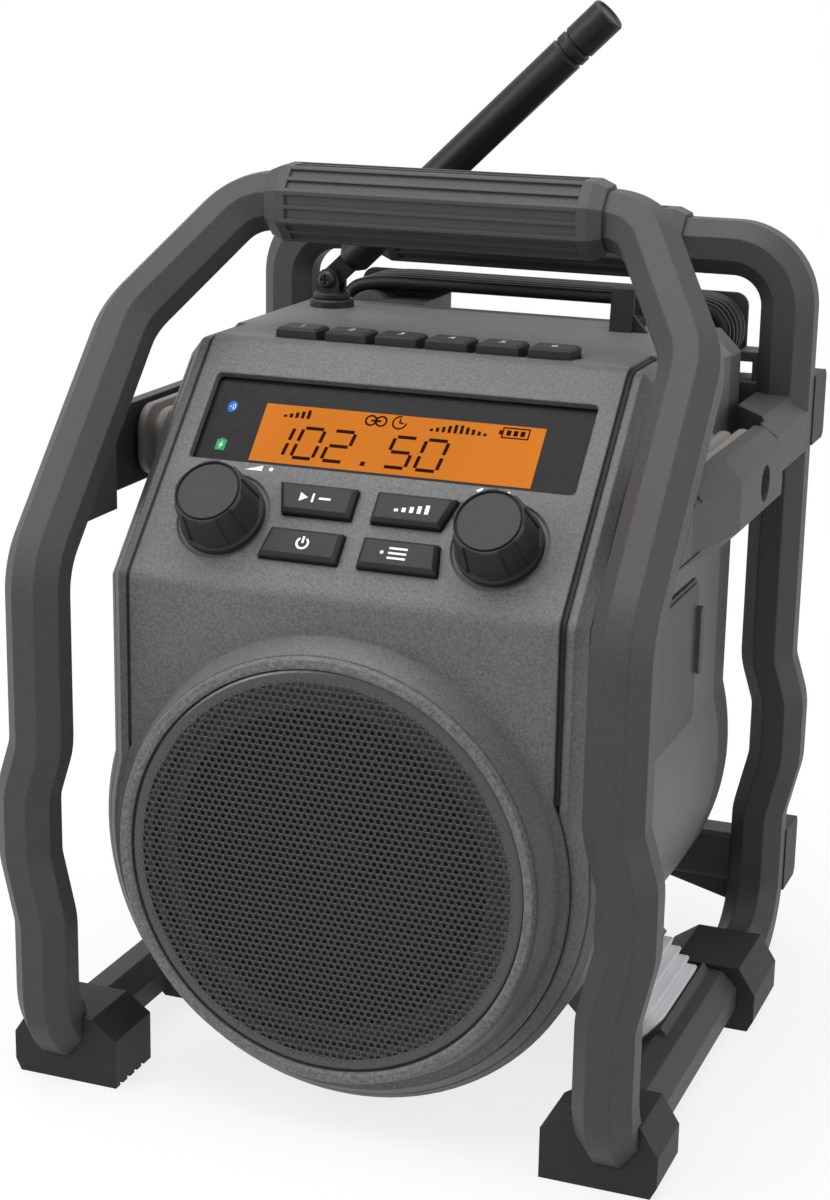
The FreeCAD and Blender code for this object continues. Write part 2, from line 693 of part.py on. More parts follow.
def make_latch():
    """The door's sliding latch, drawn back: pad outside, tongue inside."""
    top = bay_z[1] - 0.8
    pad = block((-9, 9), (back_y + 2.3, back_y + 3.9), (bay_z[1] - 15.5, bay_z[1] - 3.0))
    ridges = [bay_z[1] - 12.5 + 3 * k for k in range(3)]
    grip = [block((-7, 7), (back_y + 3.9, back_y + 4.5), (z, z + 1.2)) for z in ridges]
    stem = block((-6, 6), (back_y - 5.0, back_y + 2.3), (bay_z[1] - 11.0, bay_z[1] - 5.4))
    tongue = block((-6, 6), (back_y - 5.0, back_y - 2.8), (bay_z[1] - 11.0, top))
    return joined([pad, stem, tongue] + grip)


def make_hooks():
    """Two hooks on the back that hold the wound cord."""
    hooks = []
    last = wrap_y + cord_pitch * (cord_turns - 1) + cord_d / 2 + touching
    post_r = wrap_r - cord_d / 2 - 0.5
    for side in (-1, 1):
        centre = V(side * wrap_half, back_y, wrap_z)
        post = rod(post_r, centre, V(centre.x, last + 0.4, centre.z))
        edges = sorted((side * (wrap_half - 22), side * wrap_half))
        beam = block(edges, (back_y, last + 0.4), (wrap_z - post_r + 3, wrap_z + post_r - 3))
        reach = sorted((edges[0], edges[1], side * (wrap_half + 14)))
        lip = rounded(reach[0], reach[2], wrap_z - 12.5, wrap_z + 13.0, 5.0, lambda a, b: V(a, last, b))
        lip = Part.Face(lip).extrude(Y * 1.2)
        hooks.append(joined([post, beam, lip]))
    return Part.makeCompound(hooks)


def s_bend(start, way, side, length, offset):
    """Two arcs that move a run sideways by offset over a length."""
    half = math.atan(offset / length)
    mid = start + way * (length / 2) + side * (offset / 2)
    end = start + way * length + side * offset
    r = length / (2 * math.sin(2 * half))
    a = start + way * (r * math.sin(half)) + side * (r * (1 - math.cos(half)))
    b = end - way * (r * math.sin(half)) - side * (r * (1 - math.cos(half)))
    return [Part.Arc(start, a, mid).toShape(), Part.Arc(mid, b, end).toShape()], end


def arc_about(hub, u, v, r, a0, a1):
    spots = [hub + u * (r * math.cos(a)) + v * (r * math.sin(a)) for a in (a0, (a0 + a1) / 2, a1)]
    return Part.Arc(*spots).toShape(), spots[2]


def cord_route():
    """From the gland up into the winding on the hooks, then down to the plug behind the left leg."""
    edges = []
    quarter = math.pi / 2
    start = V(gland_x, wrap_y, wrap_z - cord_d)
    here = V(wrap_half + wrap_r, wrap_y, wrap_z)
    edges.append(Part.makeLine(start, here))
    edge, here = arc_about(V(wrap_half, wrap_y, wrap_z), X, Z, wrap_r, 0, quarter)
    edges.append(edge)
    y = wrap_y
    for turn in range(cord_turns):
        left = V(-wrap_half, y, wrap_z + wrap_r)
        edges.append(Part.makeLine(here, left))
        if turn == cord_turns - 1:
            edge, here = arc_about(V(-wrap_half, y, wrap_z), X, Z, wrap_r, quarter, 2 * quarter)
            edges.append(edge)
            break
        edge, here = arc_about(V(-wrap_half, y, wrap_z), X, Z, wrap_r, quarter, 3 * quarter)
        edges.append(edge)
        lead = (2 * wrap_half - shift_run) / 2
        edges.append(Part.makeLine(here, here + X * lead))
        bends, here = s_bend(here + X * lead, X, Y, shift_run, cord_pitch)
        edges += bends
        edges.append(Part.makeLine(here, here + X * lead))
        y += cord_pitch
        edge, here = arc_about(V(wrap_half, y, wrap_z), X, Z, wrap_r, -quarter, quarter)
        edges.append(edge)
    down = here - Z * 6
    edges.append(Part.makeLine(here, down))
    bends, here = s_bend(down, V(0, 0, -1), V(0, -1, 0), 26.0, y - plug_y)
    edges += bends
    end = V(here.x, plug_y, plug_top)
    edges.append(Part.makeLine(here, end))
    return Part.Wire(edges)


plug_y = 108.0
plug_top = 186.0


def least_gap(wire):
    """The least gap between stretches of the cord that lie over 40 mm apart along it."""
    step = 2.0
    points = wire.discretize(Distance=step)
    skip = int(24 / step)
    least = 1e9
    for i, a in enumerate(points):
        for b in points[i + skip:]:
            gap = (a.x - b.x) ** 2 + (a.y - b.y) ** 2 + (a.z - b.z) ** 2
            least = min(least, gap)
    return math.sqrt(least) - cord_d


def make_cord():
    """The cord as one unbroken many-sided tube."""
    route = cord_route()
    print("cord length", round(route.Length, 1), "least gap to itself", round(least_gap(route), 2))
    first = route.OrderedEdges[0]
    start = first.valueAt(first.FirstParameter)
    corners = []
    for k in range(cord_sides + 1):
        a = 2 * math.pi * (k + 0.5) / cord_sides
        corners.append(start + X * (cord_d / 2 * math.cos(a)) + Y * (cord_d / 2 * math.sin(a)))
    return route.makePipeShell([Part.makePolygon(corners)], True, False)


def make_gland():
    """The gland in the rear cover and its tapered strain relief, up to where the cord starts."""
    foot = V(gland_x, back_y - 2.0, gland_z)
    elbow = rod(gland_r, foot, V(gland_x, wrap_y, gland_z))
    ball = Part.makeSphere(gland_r, V(gland_x, wrap_y, gland_z))
    taper = Part.makeCone(sleeve_r[0], sleeve_r[1], wrap_z - cord_d - gland_z, V(gland_x, wrap_y, gland_z), Z)
    return joined([elbow, ball, taper])


def make_plug():
    """A two-pin plug hanging behind the left rear leg."""
    x = -(wrap_half + wrap_r)
    body = rounded(x - 11, x + 11, plug_y - 6.2, plug_y + 6.2, 4.5, lambda a, b: V(a, b, plug_top - 34))
    body = Part.Face(body).extrude(Z * 24)
    neck = Part.makeCone(6.2, 3.6, 10.0, V(x, plug_y, plug_top - 10), Z)
    blades = [block((x + side * 6.35 - 0.75, x + side * 6.35 + 0.75), (plug_y - 3.2, plug_y + 3.2),
                    (plug_top - 51, plug_top - 33)) for side in (-1, 1)]
    return joined([body, neck] + blades)


def make_gasket():
    """The dark seam strip between the panel and the rim, on the straight sides."""
    meet = drum_z + math.sqrt(panel_belly ** 2 - panel_half ** 2)
    strip = front_skin(0.9, 3.1, groove_y, meet, panel_half, panel_half + seam)
    return Part.makeCompound([strip, mirrored(strip)])


display_floor = display_deep + 1.5


def button_outlines():
    upper = [(3.5, 26.3), (3.5, 36.9), (29.8, 36.9), (26.6, 26.3)]
    lower = [(3.5, 10.2), (3.5, 20.5), (27.9, 20.5), (29.8, 10.2)]
    return {"upper_right": upper, "lower_right": lower,
            "upper_left": [(-x, s) for x, s in upper], "lower_left": [(-x, s) for x, s in lower]}


def grown(points, by, n):
    wire = Part.makePolygon([on_panel(x, s, n) for x, s in points + points[:1]])
    return wire.makeOffset2D(by, 2, False, False)


def key_places():
    return [(k - (key_count - 1) / 2) * key_pitch for k in range(key_count)]


def make_panel():
    """The front panel: flat below, slanted control face, top strip, and the speaker drum."""
    plate = front_skin(0.0, panel_thick, groove_y, -20, -panel_belly, panel_belly)
    outline = Part.Face(front_outline(-120, panel_half, panel_belly)).extrude(V(0, 130, 0))
    plate = plate.common(outline)
    front = V(0, panel_y, drum_z)
    drum = Part.makeCone(drum_base, drum_top, panel_y - drum_y, front, V(0, -1, 0))
    back = rod(drum_base - 1, front, V(0, -84, drum_z))
    frame = rounded_on_panel(-display_half - 2, display_half + 2, display_s[0] - 2, display_s[1] + 2, 5.0,
                             -6.0, -panel_thick + 0.1)
    far = panel_half - 5.5
    posts = [rod(2.5, on_panel(x, s, -15.4), on_panel(x, s, -2.5)) for x in (-far, far) for s in (9, 38)]
    row_y = sum(key_y) / 2
    row_end = key_pitch * key_count / 2 + 7.2
    key_posts = [rod(2.5, V(x, row_y, deck_z - 9.4), V(x, row_y, deck_z - 2)) for x in (-row_end, row_end)]
    solid = joined([plate, drum, back, frame] + posts + key_posts)
    cuts = [rod(grille_r + touching, V(0, -110, drum_z), V(0, drum_y + 0.7, drum_z)),
            rod(grille_r - 6.6, V(0, -110, drum_z), V(0, -80, drum_z)),
            rod(grille_r - 0.6, V(0, driver_y, drum_z), V(0, -80, drum_z))]
    cuts.append(rounded_on_panel(-display_half, display_half, display_s[0], display_s[1], display_corner,
                                 -display_floor, 5))
    lit = display_half - 5
    cuts.append(rounded_on_panel(-lit, lit, display_s[0] + 2, display_s[1] - 5, 3.0, -8, 0))
    for side in (-1, 1):
        spot = on_panel(side * knob_x, knob_s, -1.0)
        cuts.append(rod(15.5, spot, spot + outward * 5))
        cuts.append(rod(4.6, spot - outward * 5, spot + outward))
    for points in button_outlines().values():
        hole = grown(points, running, -5)
        cuts.append(Part.Face(hole).extrude(outward * 10))
    y0, y1 = key_y
    middle = (y0 + y1) / 2
    reach = key_pitch * key_count / 2 + 1
    slot = [(-reach, middle), (-reach + 5, y0 - 1.2), (reach - 5, y0 - 1.2), (reach, middle),
            (reach - 5, y1 + 1.2), (-reach + 5, y1 + 1.2)]
    cuts.append(plan_prism(slot, deck_z - 1.0, deck_z + 5))
    for x in key_places():
        half = key_wide / 2 + running
        cuts.append(block((x - half, x + half), (y0 - running, y1 + running), (deck_z - 4, deck_z + 1)))
    return biggest(less(solid, cuts))


def make_key(x):
    """One preset key with its flange under the top strip."""
    half = key_wide / 2
    y0, y1 = key_y
    top = deck_z + key_rise
    stem = block((x - half, x + half), (y0, y1), (deck_z - 4.0, top - 0.8))
    low = rounded(x - half, x + half, y0, y1, 0.8, lambda a, b: V(a, b, top - 0.8))
    high = rounded(x - half + 0.8, x + half - 0.8, y0 + 0.8, y1 - 0.8, 0.6, lambda a, b: V(a, b, top))
    cap = Part.makeLoft([low, high], True, True)
    flange = block((x - half - 0.9, x + half + 0.9), (y0 - 0.6, y1 + 0.9), (deck_z - 5.2, deck_z - 3.4))
    return joined([stem, cap, flange])


def make_button(points):
    """One rubber push button: skirt, soft bevel and a flange behind the panel."""
    stem = panel_prism(points, -4.5, button_rise - 1.2)
    low = grown(points, -0.01, button_rise - 1.2)
    high = grown(points, -1.2, button_rise)
    cap = Part.makeLoft([low, high], True, True)
    flange = Part.Face(grown(points, 1.2, -4.8)).extrude(outward * 1.4)
    return joined([stem, cap, flange])


def make_knob(side):
    """A tapered knob with broad shallow flutes round its side and a disc inside a thin rim on top."""
    base = on_panel(side * knob_x, knob_s, 0)
    r = knob_r
    top = knob_tall
    profile = [(0, -0.4), (r, -0.4), (r, 1.6), (r - 0.6, 2.2), (r - 2.4, top - 0.5), (r - 2.9, top),
               (r - 3.3, top), (r - 3.5, top - 0.9), (r - 4.0, top - 0.9), (r - 4.2, top - 0.1),
               (0, top - 0.1)]
    body = turned(profile, base, outward, X)
    sleeve = turned([(r - 1.2, 2.4), (r + 2, 2.4), (r + 2, top + 1), (r - 3.15, top + 1)], base, outward, X)
    cuts = []
    for k in range(flutes):
        spots = [math.radians(360 / flutes * (k + part)) for part in (0.0, 0.25, 0.5)]
        ways = [X * math.cos(a) + slope * math.sin(a) for a in spots]
        corners = [base, base + ways[0] * 2 * r, base + ways[1] * 2.2 * r, base + ways[2] * 2 * r]
        cuts.append(face_of(corners).extrude(outward * (top + 2)).common(sleeve))
    cuts.append(rod(shaft_r, base - outward * 2, base + outward * 9))
    return less(body, cuts)


def make_shaft(side):
    base = on_panel(side * knob_x, knob_s, 0)
    return joined([rod(shaft_r - bore_gap, base - outward * 12.0, base + outward * 9.0),
                   rod(shaft_r + 1.0, base - outward * 13.0, base - outward * 12.0)])


def make_encoder(side):
    """The turning control behind a knob: can, bushing and a pocket for the shaft's collar."""
    base = on_panel(side * knob_x, knob_s, 0)
    corners = ((-6.5, -6.5), (6.5, -6.5), (6.5, 6.5), (-6.5, 6.5))
    can = panel_prism([(side * knob_x + a, knob_s + b) for a, b in corners], -15.4, -7.0)
    bushing = rod(4.4, base - outward * 7.5, base - outward * 1.4)
    solid = joined([can, bushing])
    return less(solid, [rod(shaft_r, base - outward * 12.5, base + outward * 2),
                        rod(shaft_r + 1.1, base - outward * 13.1, base - outward * 11.9)])


def make_control_board():
    """The board behind the slanted face, with a switch under each button."""
    half = panel_half - 2.5
    low, high = 5, display_s[0] - 2.6
    pieces = [panel_prism([(-half, low), (half, low), (half, high), (-half, high)], -17.0, -15.4)]
    for points in button_outlines().values():
        x = sum(p[0] for p in points) / 4
        s = sum(p[1] for p in points) / 4
        corners = [(x - 3, s - 3), (x + 3, s - 3), (x + 3, s + 3), (x - 3, s + 3)]
        pieces.append(panel_prism(corners, -15.5, -6.2))
    return joined(pieces)


def make_key_board():
    """The small board under the preset keys, with a switch under each."""
    y0, y1 = key_y
    half = key_pitch * key_count / 2 + 11.2
    pieces = [block((-half, half), (y0 + 1, y1 + 1), (deck_z - 11, deck_z - 9.4))]
    middle = (y0 + y1) / 2
    for x in key_places():
        pieces.append(block((x - 3, x + 3), (middle - 3, middle + 3), (deck_z - 9.5, deck_z - 6.9)))
    return joined(pieces)


def make_window():
    return rounded_on_panel(-display_half + touching, display_half - touching, display_s[0] + touching,
                            display_s[1] - touching, display_corner - touching, -display_floor, -display_deep)


def make_lcd():
    """The display behind its window, in a backlight box."""
    low = display_s[0] + 2.2
    high = display_s[1] - 5.4
    half = display_half - 6.5
    glass = [(12.5 - half, low), (half - 8.2, low), (half - 8.2, high - 1.6), (12.5 - half, high - 1.6)]
    box = [(-half, low), (half, low), (half, high), (-half, high)]
    return joined([panel_prism(glass, -6.5, -display_floor - 0.1), panel_prism(box, -11.0, -6.1)])


def make_bezel():
    """The ring round the grille, with a bevelled front."""
    base = V(0, drum_y, drum_z)
    back = V(0, -1, 0)
    inner = grille_r + touching
    profile = [(inner, 0), (bezel_r, 0), (bezel_r, 1.0), (bezel_r - 0.9, 1.9), (inner + 0.9, 1.9),
               (inner, 1.2)]
    return turned(profile, base, back, X)


def make_grille():
    """The sheet metal grille, pressed into a shallow dish with a short rim."""
    base = V(0, drum_y + 0.7, drum_z)
    front = V(0, -1, 0)
    profile = [(0, 0), (grille_r, 0), (grille_r, 1.1), (grille_r - 1.0, 1.6), (0, 1.6)]
    return turned(profile, base, front, X)


def make_speaker_frame():
    """The driver's basket, surround seat and magnet."""
    base = V(0, driver_y, drum_z)
    flange = ring(grille_r - 0.9, 52.5, base, base + Y * 2)
    basket = turned([(56, 1.5), (60, 1.5), (36, 32), (32, 32)], base, Y, X)
    spider = rod(36.2, base + Y * 30, base + Y * 33)
    magnet = rod(40.0, base + Y * 33, base + Y * 50)
    windows = []
    for k in range(4):
        a = math.pi / 4 + k * math.pi / 2
        out = X * math.cos(a) + Z * math.sin(a)
        windows.append(rod(12.0, base + Y * 17 + out * 30, base + Y * 17 + out * 75))
    core = rod(13.2, base + Y * 10, base + Y * 45)
    return less(joined([less(basket, windows), flange, spider, magnet]), [core])


def make_speaker_cone():
    """The cone with its dust cap and voice coil former."""
    base = V(0, driver_y, drum_z)
    cone = turned([(50.5, 0.4), (52.2, 0.4), (52.2, 1.2), (14, 22), (12.5, 22), (12.5, 19)], base, Y, X)
    cap = turned([(0, 13.5), (8, 14.5), (14, 18.5), (14, 20.5), (0, 20.5)], base, Y, X)
    former = ring(12.9, 11.5, base + Y * 20, base + Y * 40)
    return joined([cone, cap, former])


def make_transformer():
    """The mains transformer on the floor of the housing."""
    half = 27.0
    low = belly_z - math.sqrt((belly_r - wall) ** 2 - half ** 2) - 0.2
    core = block((-half, half), (6, 34), (low, low + 40.2))
    coils = block((-17, 17), (0, 40), (low + 4.2, low + 36.2))
    return joined([core, coils])


def make_main_board():
    """The main board across the housing behind the loudspeaker."""
    y = -36.0
    half = half_width - wall + 0.1
    pieces = [block((-half, half), (y, y + 1.6), (112, 168))]
    for x0, x1, z0, z1, tall in ((-60, -30, 118, 140, 5), (-20, 15, 120, 150, 3), (30, 45, 115, 135, 9),
                                 (48, 58, 130, 160, 8)):
        pieces.append(block((x0, x1), (y + 1.5, y + 1.6 + tall), (z0, z1)))
    return joined(pieces)


def make_battery_holder():
    """The tray that the battery drops into from the back."""
    y0, y1 = 52.0, back_y - wall
    half = bay_half + 2.0
    outer = block((-half, half), (y0, y1), (bay_z[0] - 2, bay_z[1] + 6))
    room = block((-bay_half + 0.3, bay_half - 0.3), (y0 + 2, y1 + 1), (bay_z[0] + 0.3, bay_z[1] + 4))
    return less(outer, [room])


def make_battery():
    """The battery: round cells side by side in a shrink-wrapped pack."""
    y = 65.5
    count = 5
    pitch = 2 * (bay_half - 1.9) / count
    r = pitch / 2 + 0.08
    cells = []
    for k in range(count):
        x = (k - (count - 1) / 2) * pitch
        cells.append(rod(r, V(x, y, bay_z[0] + 4), V(x, y, bay_z[1] - 20)))
    half = bay_half - 11
    strap = block((-half, half), (y - 6.5, y + 1.5), (bay_z[0] + 0.6, bay_z[0] + 6))
    return joined(cells + [strap])


jack_r = 1.8
jack_at = (-16.0, 126.0)
tray_x = half_width - 8.0


def make_jack_panel():
    """The tray behind the port cover, with a power socket, a round audio socket and a data socket."""
    x1 = half_width - wall + 0.3
    y0, y1 = port_y[0] + hole_edge - 3, port_y[1] - hole_edge + 3
    z0, z1 = port_z[0] + hole_edge - 3, port_z[1] - hole_edge + 3
    tray = block((tray_x - 2, x1), (y0, y1), (z0, z1))
    room = block((tray_x, x1 + 1), (y0 + 2.5, y1 - 2.5), (z0 + 2.5, z1 - 2.5))
    back = tray_x - 11
    cans = [rod(5.0, V(back, *jack_at), V(tray_x - 1, *jack_at)),
            rod(4.5, V(back, 14, 128), V(tray_x - 1, 14, 128)),
            block((back - 2, tray_x - 1), (-5, 15), (144, 153))]
    holes = [rod(jack_r, V(back + 1, *jack_at), V(tray_x + 1, *jack_at)),
             rod(2.75, V(back + 1, 14, 128), V(tray_x + 1, 14, 128)),
             block((back, tray_x + 1), (-2, 12), (146, 150.6))]
    return less(joined([less(tray, [room])] + cans), holes)


stem_r = 3.5
pin_r = 1.6            # the antenna's pivot


def make_collar():
    """The fixed ring under the antenna."""
    base = V(pivot.x, pivot.y, deck_z)
    inner = stem_r + touching
    profile = [(inner, 0), (8.0, 0), (8.0, 2.2), (7.4, 2.8), (inner, 2.8)]
    return turned(profile, base, Z, X)


def make_fork():
    """The swivelling fork that carries the antenna."""
    base = V(pivot.x, pivot.y, deck_z)
    profile = [(0, -5), (stem_r, -5), (stem_r, 3.1), (6.6, 3.1), (6.6, 4.6), (5.9, 5.2), (0, 5.2)]
    foot = turned(profile, base, Z, X)
    cheeks = []
    for side in (-1, 1):
        y0, y1 = sorted((pivot.y + side * 2.6, pivot.y + side * 4.6))
        cheeks.append(block((pivot.x - 3.8, pivot.x + 3.8), (y0, y1), (deck_z + 5.0, pivot.z)))
        cheeks.append(rod(3.8, V(pivot.x, y0, pivot.z), V(pivot.x, y1, pivot.z)))
    fork = joined([foot] + cheeks)
    return less(fork, [rod(pin_r + bore_gap, pivot - Y * 8, pivot + Y * 8)])


def make_pivot_screw():
    """The cross-head screw that the antenna tilts on."""
    head = turned([(0, 4.7), (3.1, 4.7), (3.1, 5.5), (2.2, 6.6), (0, 6.6)], pivot, V(0, -1, 0), X)
    nut = rod(2.6, pivot + Y * 4.7, pivot + Y * 6.0)
    pin = rod(pin_r, pivot - Y * 5, pivot + Y * 6)
    slots = []
    for long, tall in ((1.9, 0.35), (0.35, 1.9)):
        slots.append(block((pivot.x - long, pivot.x + long), (pivot.y - 7, pivot.y - 5.7),
                           (pivot.z - tall, pivot.z + tall)))
    return less(joined([head, pin, nut]), slots)


def make_antenna():
    """The thick flexible rod with its eye, collar and ringed tip, leaning to the right."""
    a = math.radians(antenna_rise)
    way = V(math.cos(a), 0, math.sin(a))
    across = V(-math.sin(a), 0, math.cos(a))
    r = antenna_r
    end = antenna_long
    profile = [(0, 9.5), (r - 1.6, 9.5), (r, 12)]
    for at in (end - 19.6, end - 15.2):
        profile += [(r, at - 0.5), (r - 0.6, at), (r - 0.6, at + 0.6), (r, at + 1.1)]
    profile += [(r, end - 0.6), (r - 0.5, end), (r - 1.1, end), (r - 1.4, end - 0.6), (0, end - 0.6)]
    whip = turned(profile, pivot, way, across)
    half = 2.6 - 0.3
    eye = rod(3.6, pivot - Y * half, pivot + Y * half)
    tongue = ((0, -3.6), (11, -3.6), (11, 3.6), (0, 3.6))
    corners = [pivot + way * at + across * off - Y * half for at, off in tongue]
    neck = face_of(corners).extrude(Y * (2 * half))
    return less(joined([whip, eye, neck]), [rod(pin_r + bore_gap, pivot - Y * 8, pivot + Y * 8)])


def make_clip():
    """The clip at the right that holds the antenna when it is folded down: two tapered jaws and a gusset."""
    inner = antenna_r + 0.4
    outer = inner + 1.8
    x0, x1 = 45.0, 53.0
    y = pivot.y
    top = pivot.z + 4.5
    bed = pivot.z - inner
    side = [(y - outer - 1.4, deck_z), (y - outer + 0.3, top), (y - inner, top), (y - inner, bed),
            (y + inner, bed), (y + inner, top - 3), (y + outer, top - 4.5), (y + outer, deck_z)]
    body = side_prism(side, x0, x1)
    gusset = front_prism([(x1 - 1, deck_z), (x1 + 5, deck_z), (x1 - 1, deck_z + 7)], y - outer, y - outer + 2)
    return joined([body, gusset])


def make_housing_screws():
    screws = []
    for x, z in screw_places:
        head = rod(3.4, V(x, back_y - 1.8, z), V(x, back_y - 0.2, z))
        shank = rod(1.6, V(x, 70, z), V(x, back_y - 1.7, z))
        cross = [block((x - 2, x + 2), (back_y - 1.0, back_y), (z - 0.4, z + 0.4)),
                 block((x - 0.4, x + 0.4), (back_y - 1.0, back_y), (z - 2, z + 2))]
        screws.append(less(joined([head, shank]), cross))
    return Part.makeCompound(screws)


front_loop = make_front_loop()
rear_loop = make_rear_loop()
rail = make_rail()
bridge = make_bridge(front_loop, rear_loop)
shell = make_shell()

keep("front_loop", front_loop)
keep("rear_loop", rear_loop)
keep("bottom_rail_right", rail)
keep("bottom_rail_left", mirrored(rail))
keep("side_bridge_right", bridge)
keep("side_bridge_left", mirrored(bridge))
slant = (shoulder - V(leg_x, front_y, knee_z)).normalize()
keep("front_grip", make_grip(V(0, front_bar.y, front_bar.z), slant, slant.cross(X)))
keep("rear_grip", make_grip(V(0, rear_y, rear_bar_z), Y, Z))
keep("rubber_feet", make_feet([front_loop, rear_loop, rail]))
upper_bar = make_upper_crossbar(rear_loop)
lower_bar = make_lower_crossbar(rear_loop)
keep("crossbar_upper", upper_bar)
keep("crossbar_lower", lower_bar)
keep("rear_bumpers", make_bumpers([rear_loop, upper_bar, lower_bar]))

upper_mount = make_upper_mount(shell)
lower_mount = make_lower_mount()
keep("upper_mounts", Part.makeCompound([upper_mount, mirrored(upper_mount)]))
keep("lower_mounts", Part.makeCompound([lower_mount, mirrored(lower_mount)]))
keep("mount_screws", make_mount_screws())

keep("body_shell", shell)
keep("rear_cover", make_rear_cover())
keep("front_panel", make_panel())
keep("panel_gasket", make_gasket())
keep("display_window", make_window())
keep("display_module", make_lcd())
keep("speaker_bezel", make_bezel())
keep("speaker_grille", make_grille())
keep("speaker_frame", make_speaker_frame())
keep("speaker_cone", make_speaker_cone())

for number, x in enumerate(key_places(), 1):
    keep("preset_key_" + str(number), make_key(x))
for place, points in button_outlines().items():
    keep("button_" + place, make_button(points))
for side, word in ((-1, "left"), (1, "right")):
    keep("knob_" + word, make_knob(side))
    keep("knob_shaft_" + word, make_shaft(side))

keep("encoders", Part.makeCompound([make_encoder(side) for side in (-1, 1)]))
keep("control_boards", Part.makeCompound([make_control_board(), make_key_board()]))
keep("main_board", make_main_board())
keep("transformer", make_transformer())
keep("battery_holder", make_battery_holder())
keep("battery_pack", make_battery())
keep("battery_door", make_door())
keep("door_latch", make_latch())
pins = [rod(1.2, V(-34, door_pin.y, door_pin.z), V(34, door_pin.y, door_pin.z)),
        rod(1.0, V(hinge_x, hinge_y, port_z[0] + 1), V(hinge_x, hinge_y, port_z[1] - 1))]
keep("hinge_pins", Part.makeCompound(pins))
keep("port_cover", make_port_cover())
keep("jack_panel", make_jack_panel())

keep("antenna_collar", make_collar())
keep("antenna_fork", make_fork())
keep("antenna_pivot_screw", make_pivot_screw())
keep("antenna_rod", make_antenna())
keep("antenna_clip", make_clip())
keep("cord_hooks", make_hooks())
keep("cord_winding", make_cord())
keep("cord_gland", make_gland())
keep("cord_plug", make_plug())
keep("housing_screws", make_housing_screws())
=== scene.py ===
import math
import bpy
from mathutils import Matrix, Vector


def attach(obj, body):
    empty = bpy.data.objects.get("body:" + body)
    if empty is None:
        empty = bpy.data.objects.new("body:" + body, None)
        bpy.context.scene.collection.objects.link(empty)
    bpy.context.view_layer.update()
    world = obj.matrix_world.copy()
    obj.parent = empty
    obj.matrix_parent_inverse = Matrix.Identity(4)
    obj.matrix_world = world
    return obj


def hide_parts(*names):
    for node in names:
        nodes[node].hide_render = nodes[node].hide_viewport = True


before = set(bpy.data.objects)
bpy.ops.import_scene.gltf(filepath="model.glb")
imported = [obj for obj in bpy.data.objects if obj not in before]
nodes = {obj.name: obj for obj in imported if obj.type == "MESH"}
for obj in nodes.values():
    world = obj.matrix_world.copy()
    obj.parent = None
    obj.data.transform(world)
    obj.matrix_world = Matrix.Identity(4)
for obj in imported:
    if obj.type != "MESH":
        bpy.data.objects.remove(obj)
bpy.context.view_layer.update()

MM = 0.001

# Places shared with the CAD, in millimetres
LEAN = math.radians(46.97)
SLOPE = Vector((0, math.cos(LEAN), math.sin(LEAN)))
OUTWARD = Vector((0, -math.sin(LEAN), math.cos(LEAN)))
SLOPE_FOOT = Vector((0, -88.84, 176.36))
DRUM_Z = 89.0
GRILLE_FRONT = -99.9
GRILLE_R = 66.6
KEY_COUNT = 6
KEY_PITCH = 17.6
KEY_TOP = 246.3
FIGURE_Y = -16.5
BUTTON_PLACES = ("upper_left", "upper_right", "lower_left", "lower_right")

# Heights of the prints and lights over the slanted face, in millimetres
FIELD_AT = -2.44
LIGHT_AT = -2.42
SEGMENT_AT = -2.38
FACE_PRINT_AT = 0.04
BUTTON_PRINT_AT = 3.04

# Cord winding
CORD_D = 4.8
CORD_PITCH = 5.3
CORD_TURNS = 5
WRAP_HALF = 62.0
WRAP_R = 11.0
WRAP_Z = 235.8
WRAP_Y = 89.7
PLUG_Y = 108.0
PLUG_TOP = 186.0


def on_panel(x, s, n=0.0):
    """A point of the slanted face, in metres: x across, s up the slope, n out of it."""
    return (SLOPE_FOOT + Vector((x, 0, 0)) + SLOPE * s + OUTWARD * n) * MM


# Camera: found from the photograph's perspective, in metres and degrees
CAMERA_PLACE = (0.2710, -0.7297, 0.3698)
AZIMUTH = 20.97
ELEVATION = 15.60
ROLL = 1.046
LENS = 70.68


def make_camera():
    az = math.radians(AZIMUTH)
    el = math.radians(ELEVATION)
    roll = math.radians(ROLL)
    ahead = Vector((-math.sin(az) * math.cos(el), math.cos(az) * math.cos(el), -math.sin(el)))
    right = Vector((math.cos(az), math.sin(az), 0))
    up = right.cross(ahead)
    turned_right = right * math.cos(roll) + up * math.sin(roll)
    turned_up = up * math.cos(roll) - right * math.sin(roll)
    data = bpy.data.cameras.new("camera")
    data.sensor_fit = "VERTICAL"
    data.sensor_height = 36
    data.lens = LENS
    data.clip_start = 0.01
    camera = bpy.data.objects.new("camera", data)
    rows = Matrix((turned_right, turned_up, -ahead)).transposed().to_4x4()
    camera.matrix_world = Matrix.Translation(CAMERA_PLACE) @ rows
    bpy.context.collection.objects.link(camera)
    bpy.context.scene.camera = camera


make_camera()
bpy.context.scene.view_settings.view_transform = "Standard"


